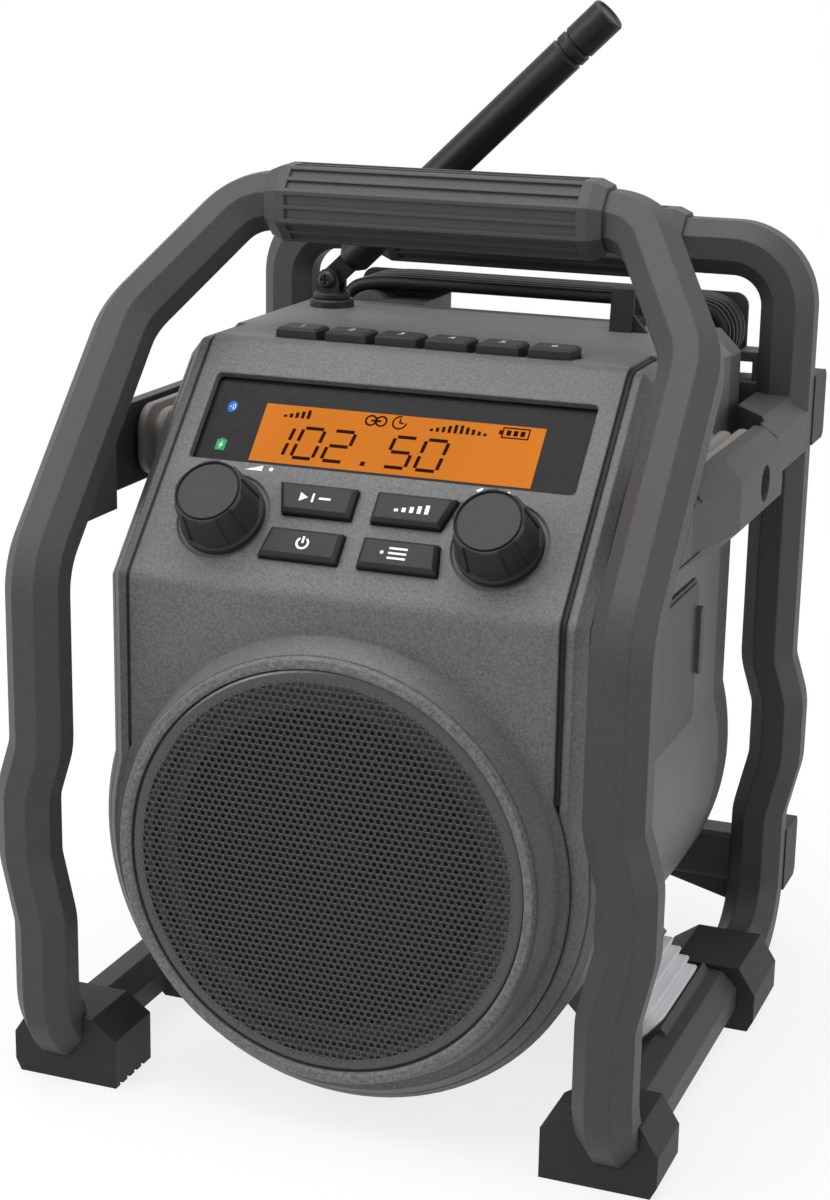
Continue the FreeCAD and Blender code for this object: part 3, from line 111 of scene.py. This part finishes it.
# Node helpers
class Graph:
    """A short way to write shader nodes."""

    def __init__(self, name):
        self.material = bpy.data.materials.new(name)
        self.material.use_nodes = True
        self.tree = self.material.node_tree
        self.tree.nodes.clear()
        self.out = self.add("ShaderNodeOutputMaterial")

    def add(self, kind, **settings):
        node = self.tree.nodes.new(kind)
        for key, value in settings.items():
            setattr(node, key, value)
        return node

    def link(self, a, b):
        self.tree.links.new(a, b)

    def coords(self):
        return self.add("ShaderNodeTexCoord").outputs["Object"]

    def noise(self, scale, detail=2.0, rough=0.5, vector=None):
        node = self.add("ShaderNodeTexNoise")
        node.inputs["Scale"].default_value = scale
        node.inputs["Detail"].default_value = detail
        node.inputs["Roughness"].default_value = rough
        self.link(vector or self.coords(), node.inputs["Vector"])
        return node.outputs["Fac"]

    def ramp(self, fac, stops):
        node = self.add("ShaderNodeValToRGB")
        elements = node.color_ramp.elements
        while len(elements) < len(stops):
            elements.new(0.5)
        for element, (at, colour) in zip(elements, stops):
            element.position = at
            element.color = (*colour, 1)
        self.link(fac, node.inputs["Fac"])
        return node.outputs["Color"]

    def span(self, fac, low, high, to_low, to_high):
        node = self.add("ShaderNodeMapRange")
        for key, value in zip(("From Min", "From Max", "To Min", "To Max"), (low, high, to_low, to_high)):
            node.inputs[key].default_value = value
        self.link(fac, node.inputs["Value"])
        return node.outputs["Result"]


def shade(colour, by):
    return tuple(max(0.0, min(1.0, c * by)) for c in colour)


def moulded(name, colour, rough=0.5, grain=0.0007, depth=0.00008, edge=0.0007, specular=0.25, wear=0.12):
    """Moulded plastic or rubber: fine grain, faint mottling, softened edges. Lengths are in metres."""
    g = Graph(name)
    shader = g.add("ShaderNodeBsdfPrincipled")
    shader.inputs["Specular IOR Level"].default_value = specular
    coords = g.coords()
    fine = g.noise(1.0 / grain, 3.0, 0.6, coords)
    broad = g.noise(28.0, 3.0, 0.6, coords)
    mix = g.add("ShaderNodeMix", data_type="RGBA", blend_type="MULTIPLY")
    mix.inputs["Factor"].default_value = 1.0
    g.link(g.ramp(fine, [(0.3, shade(colour, 1 - wear)), (0.7, shade(colour, 1 + wear))]), mix.inputs["A"])
    g.link(g.ramp(broad, [(0.3, (0.92, 0.92, 0.92)), (0.7, (1.0, 1.0, 1.0))]), mix.inputs["B"])
    g.link(mix.outputs["Result"], shader.inputs["Base Color"])
    g.link(g.span(fine, 0.3, 0.7, rough - 0.06, rough + 0.08), shader.inputs["Roughness"])
    bevel = g.add("ShaderNodeBevel", samples=4)
    bevel.inputs["Radius"].default_value = edge
    bump = g.add("ShaderNodeBump")
    bump.inputs["Strength"].default_value = 1.0
    bump.inputs["Distance"].default_value = depth
    g.link(fine, bump.inputs["Height"])
    g.link(bevel.outputs["Normal"], bump.inputs["Normal"])
    g.link(bump.outputs["Normal"], shader.inputs["Normal"])
    g.link(shader.outputs["BSDF"], g.out.inputs["Surface"])
    return g.material


def metal(name, colour, rough=0.3, brushed=0.00004):
    g = Graph(name)
    shader = g.add("ShaderNodeBsdfPrincipled")
    shader.inputs["Metallic"].default_value = 1.0
    fine = g.noise(900.0, 3.0, 0.6)
    tone = g.ramp(fine, [(0.3, shade(colour, 0.85)), (0.7, shade(colour, 1.05))])
    g.link(tone, shader.inputs["Base Color"])
    g.link(g.span(fine, 0.3, 0.7, rough - 0.08, rough + 0.1), shader.inputs["Roughness"])
    bump = g.add("ShaderNodeBump")
    bump.inputs["Distance"].default_value = brushed
    g.link(fine, bump.inputs["Height"])
    g.link(bump.outputs["Normal"], shader.inputs["Normal"])
    g.link(shader.outputs["BSDF"], g.out.inputs["Surface"])
    return g.material


def glowing(name, colour, strength=1.0, edge_shade=0.8):
    """A lit surface with slightly uneven light."""
    g = Graph(name)
    glow = g.add("ShaderNodeEmission")
    glow.inputs["Strength"].default_value = strength
    broad = g.noise(14.0, 1.0, 0.4)
    g.link(g.ramp(broad, [(0.3, shade(colour, edge_shade)), (0.7, colour)]), glow.inputs["Color"])
    g.link(glow.outputs["Emission"], g.out.inputs["Surface"])
    return g.material


CAGE = moulded("cage_plastic", (0.046, 0.043, 0.044), 0.5, 0.0009, 0.00009, 0.0009, wear=0.16)
GRIP = moulded("grip_rubber", (0.05, 0.05, 0.052), 0.5, 0.0009, 0.00005, 0.0006)
FOOT = moulded("foot_rubber", (0.018, 0.018, 0.019), 0.55, 0.0009, 0.00005, 0.0006)
# All bellows are one grey rubber: the first colour is darkened as painted shade, the second paled as
# painted light
BELLOWS_PAINTED_SHADE = moulded("bellows_rubber_painted_shade", (0.2, 0.185, 0.175), 0.42, 0.0012, 0.00002, 0.0012, wear=0.04)
BELLOWS_PAINTED_LIGHT = moulded("bellows_rubber_painted_light", (0.62, 0.63, 0.65), 0.42, 0.0012, 0.00002, 0.0012, wear=0.04)
HOUSING = moulded("housing_plastic", (0.118, 0.116, 0.117), 0.46, 0.00085, 0.00011, 0.0011, wear=0.3)
HOUSING_DARK = moulded("dark_plastic", (0.07, 0.069, 0.07), 0.5, 0.0008, 0.00008, 0.0008)
SEAL = moulded("seal_rubber", (0.012, 0.012, 0.013), 0.6, 0.0006, 0.00003, 0.0003)
BEZEL = moulded("bezel_plastic", (0.125, 0.123, 0.124), 0.55, 0.0011, 0.0003, 0.0004, wear=0.4)
KEY = moulded("key_rubber", (0.016, 0.016, 0.017), 0.5, 0.0007, 0.00003, 0.0007)
KNOB = moulded("knob_rubber", (0.024, 0.024, 0.025), 0.5, 0.0006, 0.00004, 0.0006)
BLACK = moulded("black_plastic", (0.016, 0.016, 0.016), 0.42, 0.0007, 0.00003, 0.0005)
AERIAL = moulded("antenna_rubber", (0.006, 0.006, 0.006), 0.4, 0.0006, 0.00002, 0.0006)
CORD = moulded("cord_rubber", (0.012, 0.012, 0.012), 0.45, 0.0006, 0.00002, 0.0004)
BOARD = moulded("board_green", (0.02, 0.1, 0.045), 0.4, 0.0008, 0.00002, 0.0003)
IRON = moulded("painted_iron", (0.06, 0.06, 0.065), 0.45, 0.0009, 0.00003, 0.0006)
PAPER = moulded("cone_paper", (0.02, 0.02, 0.02), 0.8, 0.0009, 0.00006, 0.0004)
WRAP = moulded("battery_wrap", (0.05, 0.16, 0.07), 0.3, 0.001, 0.00001, 0.0006)
STEEL = metal("steel", (0.55, 0.55, 0.55), 0.35)
GRILLE = moulded("grille_paint", (0.022, 0.022, 0.023), 0.3, 0.0005, 0.00002, 0.0002, specular=0.8)
WINDOW = moulded("window_gloss", (0.004, 0.004, 0.0045), 0.3, 0.004, 0.000001, 0.0004, specular=0.12,
                 wear=0.02)
ORANGE = glowing("display_light", (0.78, 0.235, 0.03))
INK = moulded("display_ink", (0.02, 0.007, 0.003), 0.9, 0.002, 0.000001, 0.0001, specular=0.0)
PRINT = moulded("white_print", (0.8, 0.8, 0.8), 0.6, 0.001, 0.000005, 0.0001, wear=0.04)
BLUE = glowing("blue_light", (0.04, 0.21, 0.7))
GREEN = glowing("green_light", (0.06, 0.45, 0.16))
LIT_MARK = glowing("lit_mark", (0.85, 0.88, 0.9))

PAINT = (
    (CAGE, ("front_loop", "rear_loop", "bottom_rail_left", "bottom_rail_right", "side_bridge_left",
            "side_bridge_right", "crossbar_upper", "crossbar_lower")),
    (GRIP, ("front_grip", "rear_grip")),
    (FOOT, ("rubber_feet", "rear_bumpers")),
    # Upper mounts get the bellows rubber with painted shade, lower mounts the same rubber with painted
    # light
    (BELLOWS_PAINTED_SHADE, ("upper_mounts",)),
    (BELLOWS_PAINTED_LIGHT, ("lower_mounts",)),
    (HOUSING, ("body_shell", "front_panel")),
    (HOUSING_DARK, ("rear_cover", "battery_door", "port_cover", "cord_hooks")),
    (BLACK, ("antenna_clip", "antenna_collar", "antenna_fork", "antenna_pivot_screw", "display_module",
             "door_latch", "cord_gland", "battery_holder", "jack_panel", "encoders")),
    (SEAL, ("panel_gasket",)),
    (WINDOW, ("display_window",)),
    (BEZEL, ("speaker_bezel",)),
    (GRILLE, ("speaker_grille",)),
    (KNOB, ("knob_left", "knob_right")),
    (AERIAL, ("antenna_rod",)),
    (STEEL, ("mount_screws", "housing_screws", "hinge_pins", "knob_shaft_left", "knob_shaft_right")),
    (BOARD, ("control_boards", "main_board")),
    (IRON, ("transformer", "speaker_frame")),
    (PAPER, ("speaker_cone",)),
    (WRAP, ("battery_pack",)),
    (CORD, ("cord_winding", "cord_plug")),
    (KEY, tuple("preset_key_" + str(number) for number in range(1, KEY_COUNT + 1))),
    (KEY, tuple("button_" + place for place in BUTTON_PLACES)),
)
for material, names in PAINT:
    for name in names:
        nodes[name].data.materials.clear()
        nodes[name].data.materials.append(material)


def piece(name, vertices, faces, material, body, smooth=False):
    """A mesh piece from vertices in millimetres."""
    data = bpy.data.meshes.new(name)
    data.from_pydata([Vector(v) * MM for v in vertices], [], faces)
    data.validate()
    data.update()
    thing = bpy.data.objects.new(name, data)
    bpy.context.collection.objects.link(thing)
    data.materials.append(material)
    for face in data.polygons:
        face.use_smooth = smooth
    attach(thing, body)
    return thing


# The perforated grille: a hexagonal grid of round holes in a thin sheet
HOLE_PITCH = 2.35
HOLE_R = 0.82
SHEET = 0.5


def make_grille():
    """The sheet with its chamfered holes, and the plain rim round it."""
    vertices = []
    faces = []
    rows = int(GRILLE_R / (HOLE_PITCH * math.sqrt(0.75))) + 1
    corner_r = HOLE_PITCH / math.sqrt(3)
    front = GRILLE_FRONT
    for row in range(-rows, rows + 1):
        z = row * HOLE_PITCH * math.sqrt(0.75)
        shift = HOLE_PITCH / 2 if row % 2 else 0.0
        for column in range(-rows, rows + 1):
            x = column * HOLE_PITCH + shift
            if math.hypot(x, z) > GRILLE_R - 2.2:
                continue
            first = len(vertices)
            for k in range(12):
                a = math.radians(30 * k)
                inward = math.cos(math.radians(30)) / math.cos(math.radians((30 * k) % 60 - 30))
                outer = corner_r * inward
                vertices.append((x + outer * math.cos(a), front, DRUM_Z + z + outer * math.sin(a)))
            for r, y in ((HOLE_R + 0.12, front), (HOLE_R, front + 0.12), (HOLE_R, front + SHEET)):
                for k in range(12):
                    a = math.radians(30 * k)
                    vertices.append((x + r * math.cos(a), y, DRUM_Z + z + r * math.sin(a)))
            for layer in range(3):
                for k in range(12):
                    a = first + layer * 12 + k
                    b = first + layer * 12 + (k + 1) % 12
                    faces.append((a, b, b + 12, a + 12))
    sheet = piece("grille_sheet", vertices, faces, GRILLE, "radio")
    ring = []
    ring_faces = []
    count = 96
    inner = GRILLE_R - 4.2
    outer = GRILLE_R - 0.3
    profile = ((inner, front + 0.02), (GRILLE_R - 1.2, front + 0.02), (outer, front + 0.5),
               (outer, front + 1.5), (inner, front + 1.5))
    for k in range(count):
        a = 2 * math.pi * k / count
        for r, y in profile:
            ring.append((r * math.cos(a), y, DRUM_Z + r * math.sin(a)))
    size = len(profile)
    for k in range(count):
        for j in range(size):
            a = k * size + j
            b = k * size + (j + 1) % size
            c = ((k + 1) % count) * size + (j + 1) % size
            d = ((k + 1) % count) * size + j
            ring_faces.append((a, b, c, d))
    piece("grille_rim", ring, ring_faces, GRILLE, "radio")
    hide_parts("speaker_grille")


make_grille()


# Flat print on the slanted face and on the keys
def flat(name, polygons, place, material, body):
    """Thin flat shapes given by outlines; place turns a point of the plane into millimetres in space."""
    vertices = []
    faces = []
    for outline in polygons:
        first = len(vertices)
        vertices += [place(a, b) for a, b in outline]
        faces.append(tuple(range(first, first + len(outline))))
    return piece(name, vertices, faces, material, body)


def panel_place(n):
    """Where points of the slanted face lie at height n over it."""
    return lambda x, s: on_panel(x, s, n) / MM


def bar(x0, s0, x1, s1, width):
    """A stroke between two points."""
    d = Vector((x1 - x0, s1 - s0)).normalized()
    e = Vector((-d.y, d.x)) * (width / 2)
    return [(x0 - e.x, s0 - e.y), (x1 - e.x, s1 - e.y), (x1 + e.x, s1 + e.y), (x0 + e.x, s0 + e.y)]


def arc(cx, cy, r, a0, a1, width, steps=14):
    """Short strokes along an arc."""
    spots = [math.radians(a0 + (a1 - a0) * k / steps) for k in range(steps + 1)]
    shapes = []
    for a, b in zip(spots, spots[1:]):
        shapes.append([(cx + (r - width / 2) * math.cos(a), cy + (r - width / 2) * math.sin(a)),
                       (cx + (r + width / 2) * math.cos(a), cy + (r + width / 2) * math.sin(a)),
                       (cx + (r + width / 2) * math.cos(b), cy + (r + width / 2) * math.sin(b)),
                       (cx + (r - width / 2) * math.cos(b), cy + (r - width / 2) * math.sin(b))])
    return shapes


def disc(cx, cy, r, steps=20):
    """A small round dot."""
    return [[(cx + r * math.cos(2 * math.pi * k / steps), cy + r * math.sin(2 * math.pi * k / steps))
             for k in range(steps)]]


# The lit display: an orange field with dark segments
LCD = (-45.7, 50.0, 45.9, 67.8)
DIGIT_TALL = 11.3
DIGIT_WIDE = 7.5
DIGIT_STEP = 10.6
SEGMENTS = {"0": "abcdef", "1": "bc", "2": "abged", "3": "abgcd", "4": "fgbc", "5": "afgcd", "6": "afgcde",
            "7": "abc", "8": "abcdefg", "9": "abcfgd"}


def digit_shapes(text, x, s):
    """Slanted seven-segment figures, left foot at (x, s)."""
    shapes = []
    tall, wide, thick, slant = DIGIT_TALL, DIGIT_WIDE, 1.25, 0.14
    gap = 0.6
    ends = {"a": (gap, tall, wide - gap, tall), "d": (gap, 0, wide - gap, 0),
            "g": (gap, tall / 2, wide - gap, tall / 2), "f": (0, tall / 2 + gap, 0, tall - gap),
            "b": (wide, tall / 2 + gap, wide, tall - gap), "e": (0, gap, 0, tall / 2 - gap),
            "c": (wide, gap, wide, tall / 2 - gap)}
    for letter in text:
        if letter == ".":
            x0 = x + DIGIT_WIDE / 2
            shapes += [[(x0 - 0.9, s - 0.6), (x0 + 0.7, s - 0.6), (x0 + 0.9, s + 1.0), (x0 - 0.7, s + 1.0)]]
        for segment in SEGMENTS.get(letter, ""):
            ax, ay, bx, by = ends[segment]
            shapes.append(bar(x + ax + ay * slant, s + ay, x + bx + by * slant, s + by, thick))
        x += DIGIT_STEP
    return shapes


def battery_shapes(x, s):
    """A battery outline with three bars."""
    wide, tall = 8.6, 3.6
    shapes = [bar(x, s, x + wide, s, 0.5), bar(x, s + tall, x + wide, s + tall, 0.5),
              bar(x, s - 0.25, x, s + tall + 0.25, 0.5),
              bar(x + wide, s - 0.25, x + wide, s + tall + 0.25, 0.5),
              bar(x - 0.75, s + 1.0, x - 0.75, s + tall - 1.0, 1.0)]
    for k in range(3):
        at = x + 2.0 + 2.3 * k
        shapes.append(bar(at, s + 0.8, at, s + tall - 0.8, 1.5))
    return shapes


def make_display():
    """The lit field, the figures and a row of small generic signs above them."""
    x0, x1, s0, s1 = LCD
    field = [(x0, s0), (x1, s0), (x1, s1), (x0, s1)]
    flat("display_field", [field], panel_place(FIELD_AT), ORANGE, "radio")
    shapes = digit_shapes("102.50", -42.3, 48.5)
    top = s1 - 4.6
    shapes += [bar(-38 + 2.0 * k, top, -38 + 2.0 * k, top + 0.9 + 0.6 * k, 1.2) for k in range(5)]
    for at in (-8.4, -4.9):
        shapes += arc(at, top + 1.7, 1.8, 0, 360, 0.7)
    shapes += [bar(-8.4, top + 1.7, -4.9, top + 1.7, 0.8)]
    shapes += arc(1.4, top + 1.8, 2.3, 80, 360, 0.6)
    shapes += [bar(1.4, top + 1.7, 1.4, top + 3.3, 0.6), bar(1.4, top + 1.7, 2.8, top + 1.7, 0.6)]
    for k in range(10):
        at = 12.6 + 2.0 * k
        shapes.append(bar(at, top - 0.2, at, top + 0.8 + 0.55 * min(k, 9 - k), 1.1))
    shapes += battery_shapes(36.2, top)
    flat("display_segments", shapes, panel_place(SEGMENT_AT), INK, "radio")


make_display()


def make_lights():
    """Two small lit marks left of the display: round and blue, upright and green."""
    x, s = -57.5, 65.3
    turns = [math.radians(15 * k) for k in range(24)]
    oval = [(x + 1.7 * math.cos(turn), s + 2.2 * math.sin(turn)) for turn in turns]
    flat("indicator_blue", [oval], panel_place(LIGHT_AT), BLUE, "radio")
    waves = arc(x - 0.5, s, 0.9, -60, 60, 0.3, 8) + arc(x - 0.5, s, 1.6, -50, 50, 0.3, 8)
    waves += disc(x - 0.6, s, 0.3, 8)
    flat("indicator_blue_mark", waves, panel_place(SEGMENT_AT), LIT_MARK, "radio")
    x, s = -57.0, 50.6
    cell = [bar(x - 1.7, s, x + 1.7, s, 4.0), bar(x - 0.7, s + 2.2, x + 0.7, s + 2.2, 0.6)]
    flat("indicator_green", cell, panel_place(LIGHT_AT), GREEN, "radio")
    bolt = [[(x + 0.5, s + 1.6), (x - 0.9, s - 0.2), (x + 0.1, s - 0.1)],
            [(x - 0.5, s - 1.6), (x + 0.9, s + 0.2), (x - 0.1, s + 0.1)]]
    flat("indicator_green_mark", bolt, panel_place(SEGMENT_AT), LIT_MARK, "radio")


make_lights()


# Middles of the right-hand buttons on the slanted face, across and up, and the prints' line width
UPPER_BUTTON = (16.4, 31.6)
LOWER_BUTTON = (15.6, 15.35)
LINE = 0.75


def print_on_button(name, shapes):
    flat(name + "_print", shapes, panel_place(BUTTON_PRINT_AT), PRINT, name + "_body")


def make_button_prints():
    """A play sign, rising bars, a power sign and a list."""
    x, s = -UPPER_BUTTON[0], UPPER_BUTTON[1]
    play = [(x - 5, s - 1.6), (x - 2.2, s), (x - 5, s + 1.6)]
    print_on_button("button_upper_left", [play, bar(x - 0.5, s - 1.6, x - 0.5, s + 1.6, LINE),
                                          bar(x + 1.5, s, x + 5.5, s, LINE)])
    x, s = UPPER_BUTTON
    rising = [bar(x - 5 + 2.5 * k, s - 1.6, x - 5 + 2.5 * k, s - 0.6 + 0.55 * k, 1.3) for k in range(5)]
    print_on_button("button_upper_right", rising)
    x, s = -LOWER_BUTTON[0], LOWER_BUTTON[1]
    print_on_button("button_lower_left", arc(x, s, 1.9, 125, 415, LINE) + [bar(x, s, x, s + 2.4, LINE)])
    x, s = LOWER_BUTTON
    rows = [bar(x - 2.5, s + d, x + 3.5, s + d, LINE) for d in (-1.7, 0, 1.7)]
    print_on_button("button_lower_right", rows + disc(x - 4.6, s, 0.6))


make_button_prints()


def make_knob_marks():
    """Small marks beside the knobs: a wedge, two arrows and two dots."""
    shapes = [[(-44.5, 41.0), (-38.5, 41.0), (-38.5, 43.0)]] + disc(-35.5, 41.9, 0.7)
    shapes += [[(33.8, 42.0), (36.0, 40.8), (36.0, 43.2)], [(41.2, 42.0), (39.0, 40.8), (39.0, 43.2)]]
    shapes += disc(44.5, 42.0, 0.7)
    flat("knob_marks", shapes, panel_place(FACE_PRINT_AT), PRINT, "radio")


make_knob_marks()


def make_key_figures():
    """The figures 1 to 6 on the preset keys."""
    for number in range(1, KEY_COUNT + 1):
        x = (number - (KEY_COUNT + 1) / 2) * KEY_PITCH
        data = bpy.data.curves.new("figure", "FONT")
        data.body = str(number)
        data.size = 5.2 * MM
        data.align_x = "CENTER"
        data.align_y = "CENTER"
        thing = bpy.data.objects.new("figure", data)
        bpy.context.collection.objects.link(thing)
        thing.matrix_world = Matrix.Translation((x * MM, FIGURE_Y * MM, (KEY_TOP + 0.04) * MM))
        bpy.context.view_layer.update()
        mesh = bpy.data.meshes.new_from_object(thing)
        mesh.transform(thing.matrix_world)
        bpy.data.objects.remove(thing)
        figure = bpy.data.objects.new("key_figure_" + str(number), mesh)
        bpy.context.collection.objects.link(figure)
        mesh.materials.clear()
        mesh.materials.append(PRINT)
        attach(figure, "key_" + str(number))


make_key_figures()


# The cord: one spline through the gland, the winding on its hooks and down to the plug
def cord_points():
    """Control points in millimetres: gland, turns round the two hooks, then down to the plug."""
    points = [(WRAP_HALF + WRAP_R, WRAP_Y, WRAP_Z - 4.8), (WRAP_HALF + WRAP_R, WRAP_Y, WRAP_Z - 1.0)]
    y = WRAP_Y
    shoulder = WRAP_R * 0.42
    r = WRAP_R * 1.04
    for turn in range(CORD_TURNS):
        points += [(WRAP_HALF + r, y, WRAP_Z + shoulder), (WRAP_HALF + shoulder, y, WRAP_Z + r)]
        points += [(WRAP_HALF * 0.5, y, WRAP_Z + r), (-WRAP_HALF * 0.5, y, WRAP_Z + r)]
        points += [(-WRAP_HALF - shoulder, y, WRAP_Z + r), (-WRAP_HALF - r, y, WRAP_Z + shoulder)]
        if turn < CORD_TURNS - 1:
            points += [(-WRAP_HALF - r, y, WRAP_Z - shoulder), (-WRAP_HALF - shoulder, y, WRAP_Z - r)]
            points += [(-WRAP_HALF * 0.5, y, WRAP_Z - r)]
            y += CORD_PITCH
            points += [(WRAP_HALF * 0.5, y, WRAP_Z - r)]
            points += [(WRAP_HALF + shoulder, y, WRAP_Z - r), (WRAP_HALF + r, y, WRAP_Z - shoulder)]
    x = -WRAP_HALF - WRAP_R
    points += [(x, y, WRAP_Z - 6), (x, y, WRAP_Z - 14), (x, PLUG_Y, WRAP_Z - 26), (x, PLUG_Y, PLUG_TOP + 8),
               (x, PLUG_Y, PLUG_TOP)]
    return points


def make_cord():
    points = cord_points()
    data = bpy.data.curves.new("cord", "CURVE")
    data.dimensions = "3D"
    data.bevel_depth = CORD_D / 2 * MM
    data.bevel_resolution = 6
    data.resolution_u = 8
    spline = data.splines.new("NURBS")
    spline.points.add(len(points) - 1)
    for slot, place in zip(spline.points, points):
        slot.co = (*(c * MM for c in place), 1)
    spline.order_u = 3
    spline.use_endpoint_u = True
    data.materials.append(CORD)
    cord = bpy.data.objects.new("mains_cord", data)
    bpy.context.collection.objects.link(cord)
    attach(cord, "radio")
    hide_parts("cord_winding")


make_cord()


# Floor and light
def seen_white(tree):
    """1 for camera, glossy and transmission rays, which see the plain white background."""
    rays = tree.nodes.new("ShaderNodeLightPath")
    share = rays.outputs["Is Camera Ray"]
    for kind in ("Is Glossy Ray", "Is Transmission Ray"):
        either = tree.nodes.new("ShaderNodeMath")
        either.operation = "MAXIMUM"
        tree.links.new(share, either.inputs[0])
        tree.links.new(rays.outputs[kind], either.inputs[1])
        share = either.outputs[0]
    return share


def make_floor():
    """A white floor that keeps the object's soft shadow and fades to plain white farther out."""
    data = bpy.data.meshes.new("floor")
    half = 6
    low = -0.0002
    corners = [(-half, -half, low), (half, -half, low), (half, half, low), (-half, half, low)]
    data.from_pydata(corners, [], [(0, 1, 2, 3)])
    floor = bpy.data.objects.new("floor", data)
    bpy.context.collection.objects.link(floor)
    g = Graph("pale_floor")
    plain = g.add("ShaderNodeBsdfDiffuse")
    plain.inputs["Color"].default_value = (0.8, 0.8, 0.8, 1)
    white = g.add("ShaderNodeEmission")
    white.inputs["Color"].default_value = (1, 1, 1, 1)
    white.inputs["Strength"].default_value = 1.0
    away = g.add("ShaderNodeVectorMath", operation="LENGTH")
    g.link(g.coords(), away.inputs[0])
    near = g.span(away.outputs["Value"], 0.15, 0.55, 0.8, 1.0)
    share = g.add("ShaderNodeMath", operation="MULTIPLY")
    g.link(seen_white(g.tree), share.inputs[0])
    g.link(near, share.inputs[1])
    mix = g.add("ShaderNodeMixShader")
    g.link(share.outputs[0], mix.inputs["Fac"])
    g.link(plain.outputs["BSDF"], mix.inputs[1])
    g.link(white.outputs["Emission"], mix.inputs[2])
    g.link(mix.outputs["Shader"], g.out.inputs["Surface"])
    data.materials.append(g.material)


def make_world():
    world = bpy.data.worlds.new("studio")
    bpy.context.scene.world = world
    world.use_nodes = True
    tree = world.node_tree
    tree.nodes.clear()
    out = tree.nodes.new("ShaderNodeOutputWorld")
    dim = tree.nodes.new("ShaderNodeBackground")
    dim.inputs["Color"].default_value = (1, 1, 1, 1)
    dim.inputs["Strength"].default_value = 0.45
    white = tree.nodes.new("ShaderNodeBackground")
    white.inputs["Color"].default_value = (1, 1, 1, 1)
    white.inputs["Strength"].default_value = 1.0
    mix = tree.nodes.new("ShaderNodeMixShader")
    tree.links.new(seen_white(tree), mix.inputs["Fac"])
    tree.links.new(dim.outputs["Background"], mix.inputs[1])
    tree.links.new(white.outputs["Background"], mix.inputs[2])
    tree.links.new(mix.outputs["Shader"], out.inputs["Surface"])


def make_lamp(name, place, target, size, power):
    data = bpy.data.lights.new(name, "AREA")
    data.shape = "RECTANGLE"
    data.size, data.size_y = size
    data.energy = power
    lamp = bpy.data.objects.new(name, data)
    lamp.location = place
    way = Vector(target) - Vector(place)
    lamp.rotation_euler = way.to_track_quat("-Z", "Y").to_euler()
    bpy.context.collection.objects.link(lamp)


make_floor()
make_world()
make_lamp("top_softbox", (-0.1, -0.1, 1.3), (0, 0, 0.2), (1.2, 1.2), 16)
make_lamp("left_softbox", (-1.1, -0.9, 0.8), (0, 0, 0.15), (0.7, 1.2), 12)
make_lamp("right_softbox", (1.3, -0.3, 0.6), (0, 0, 0.15), (0.6, 1.2), 6)
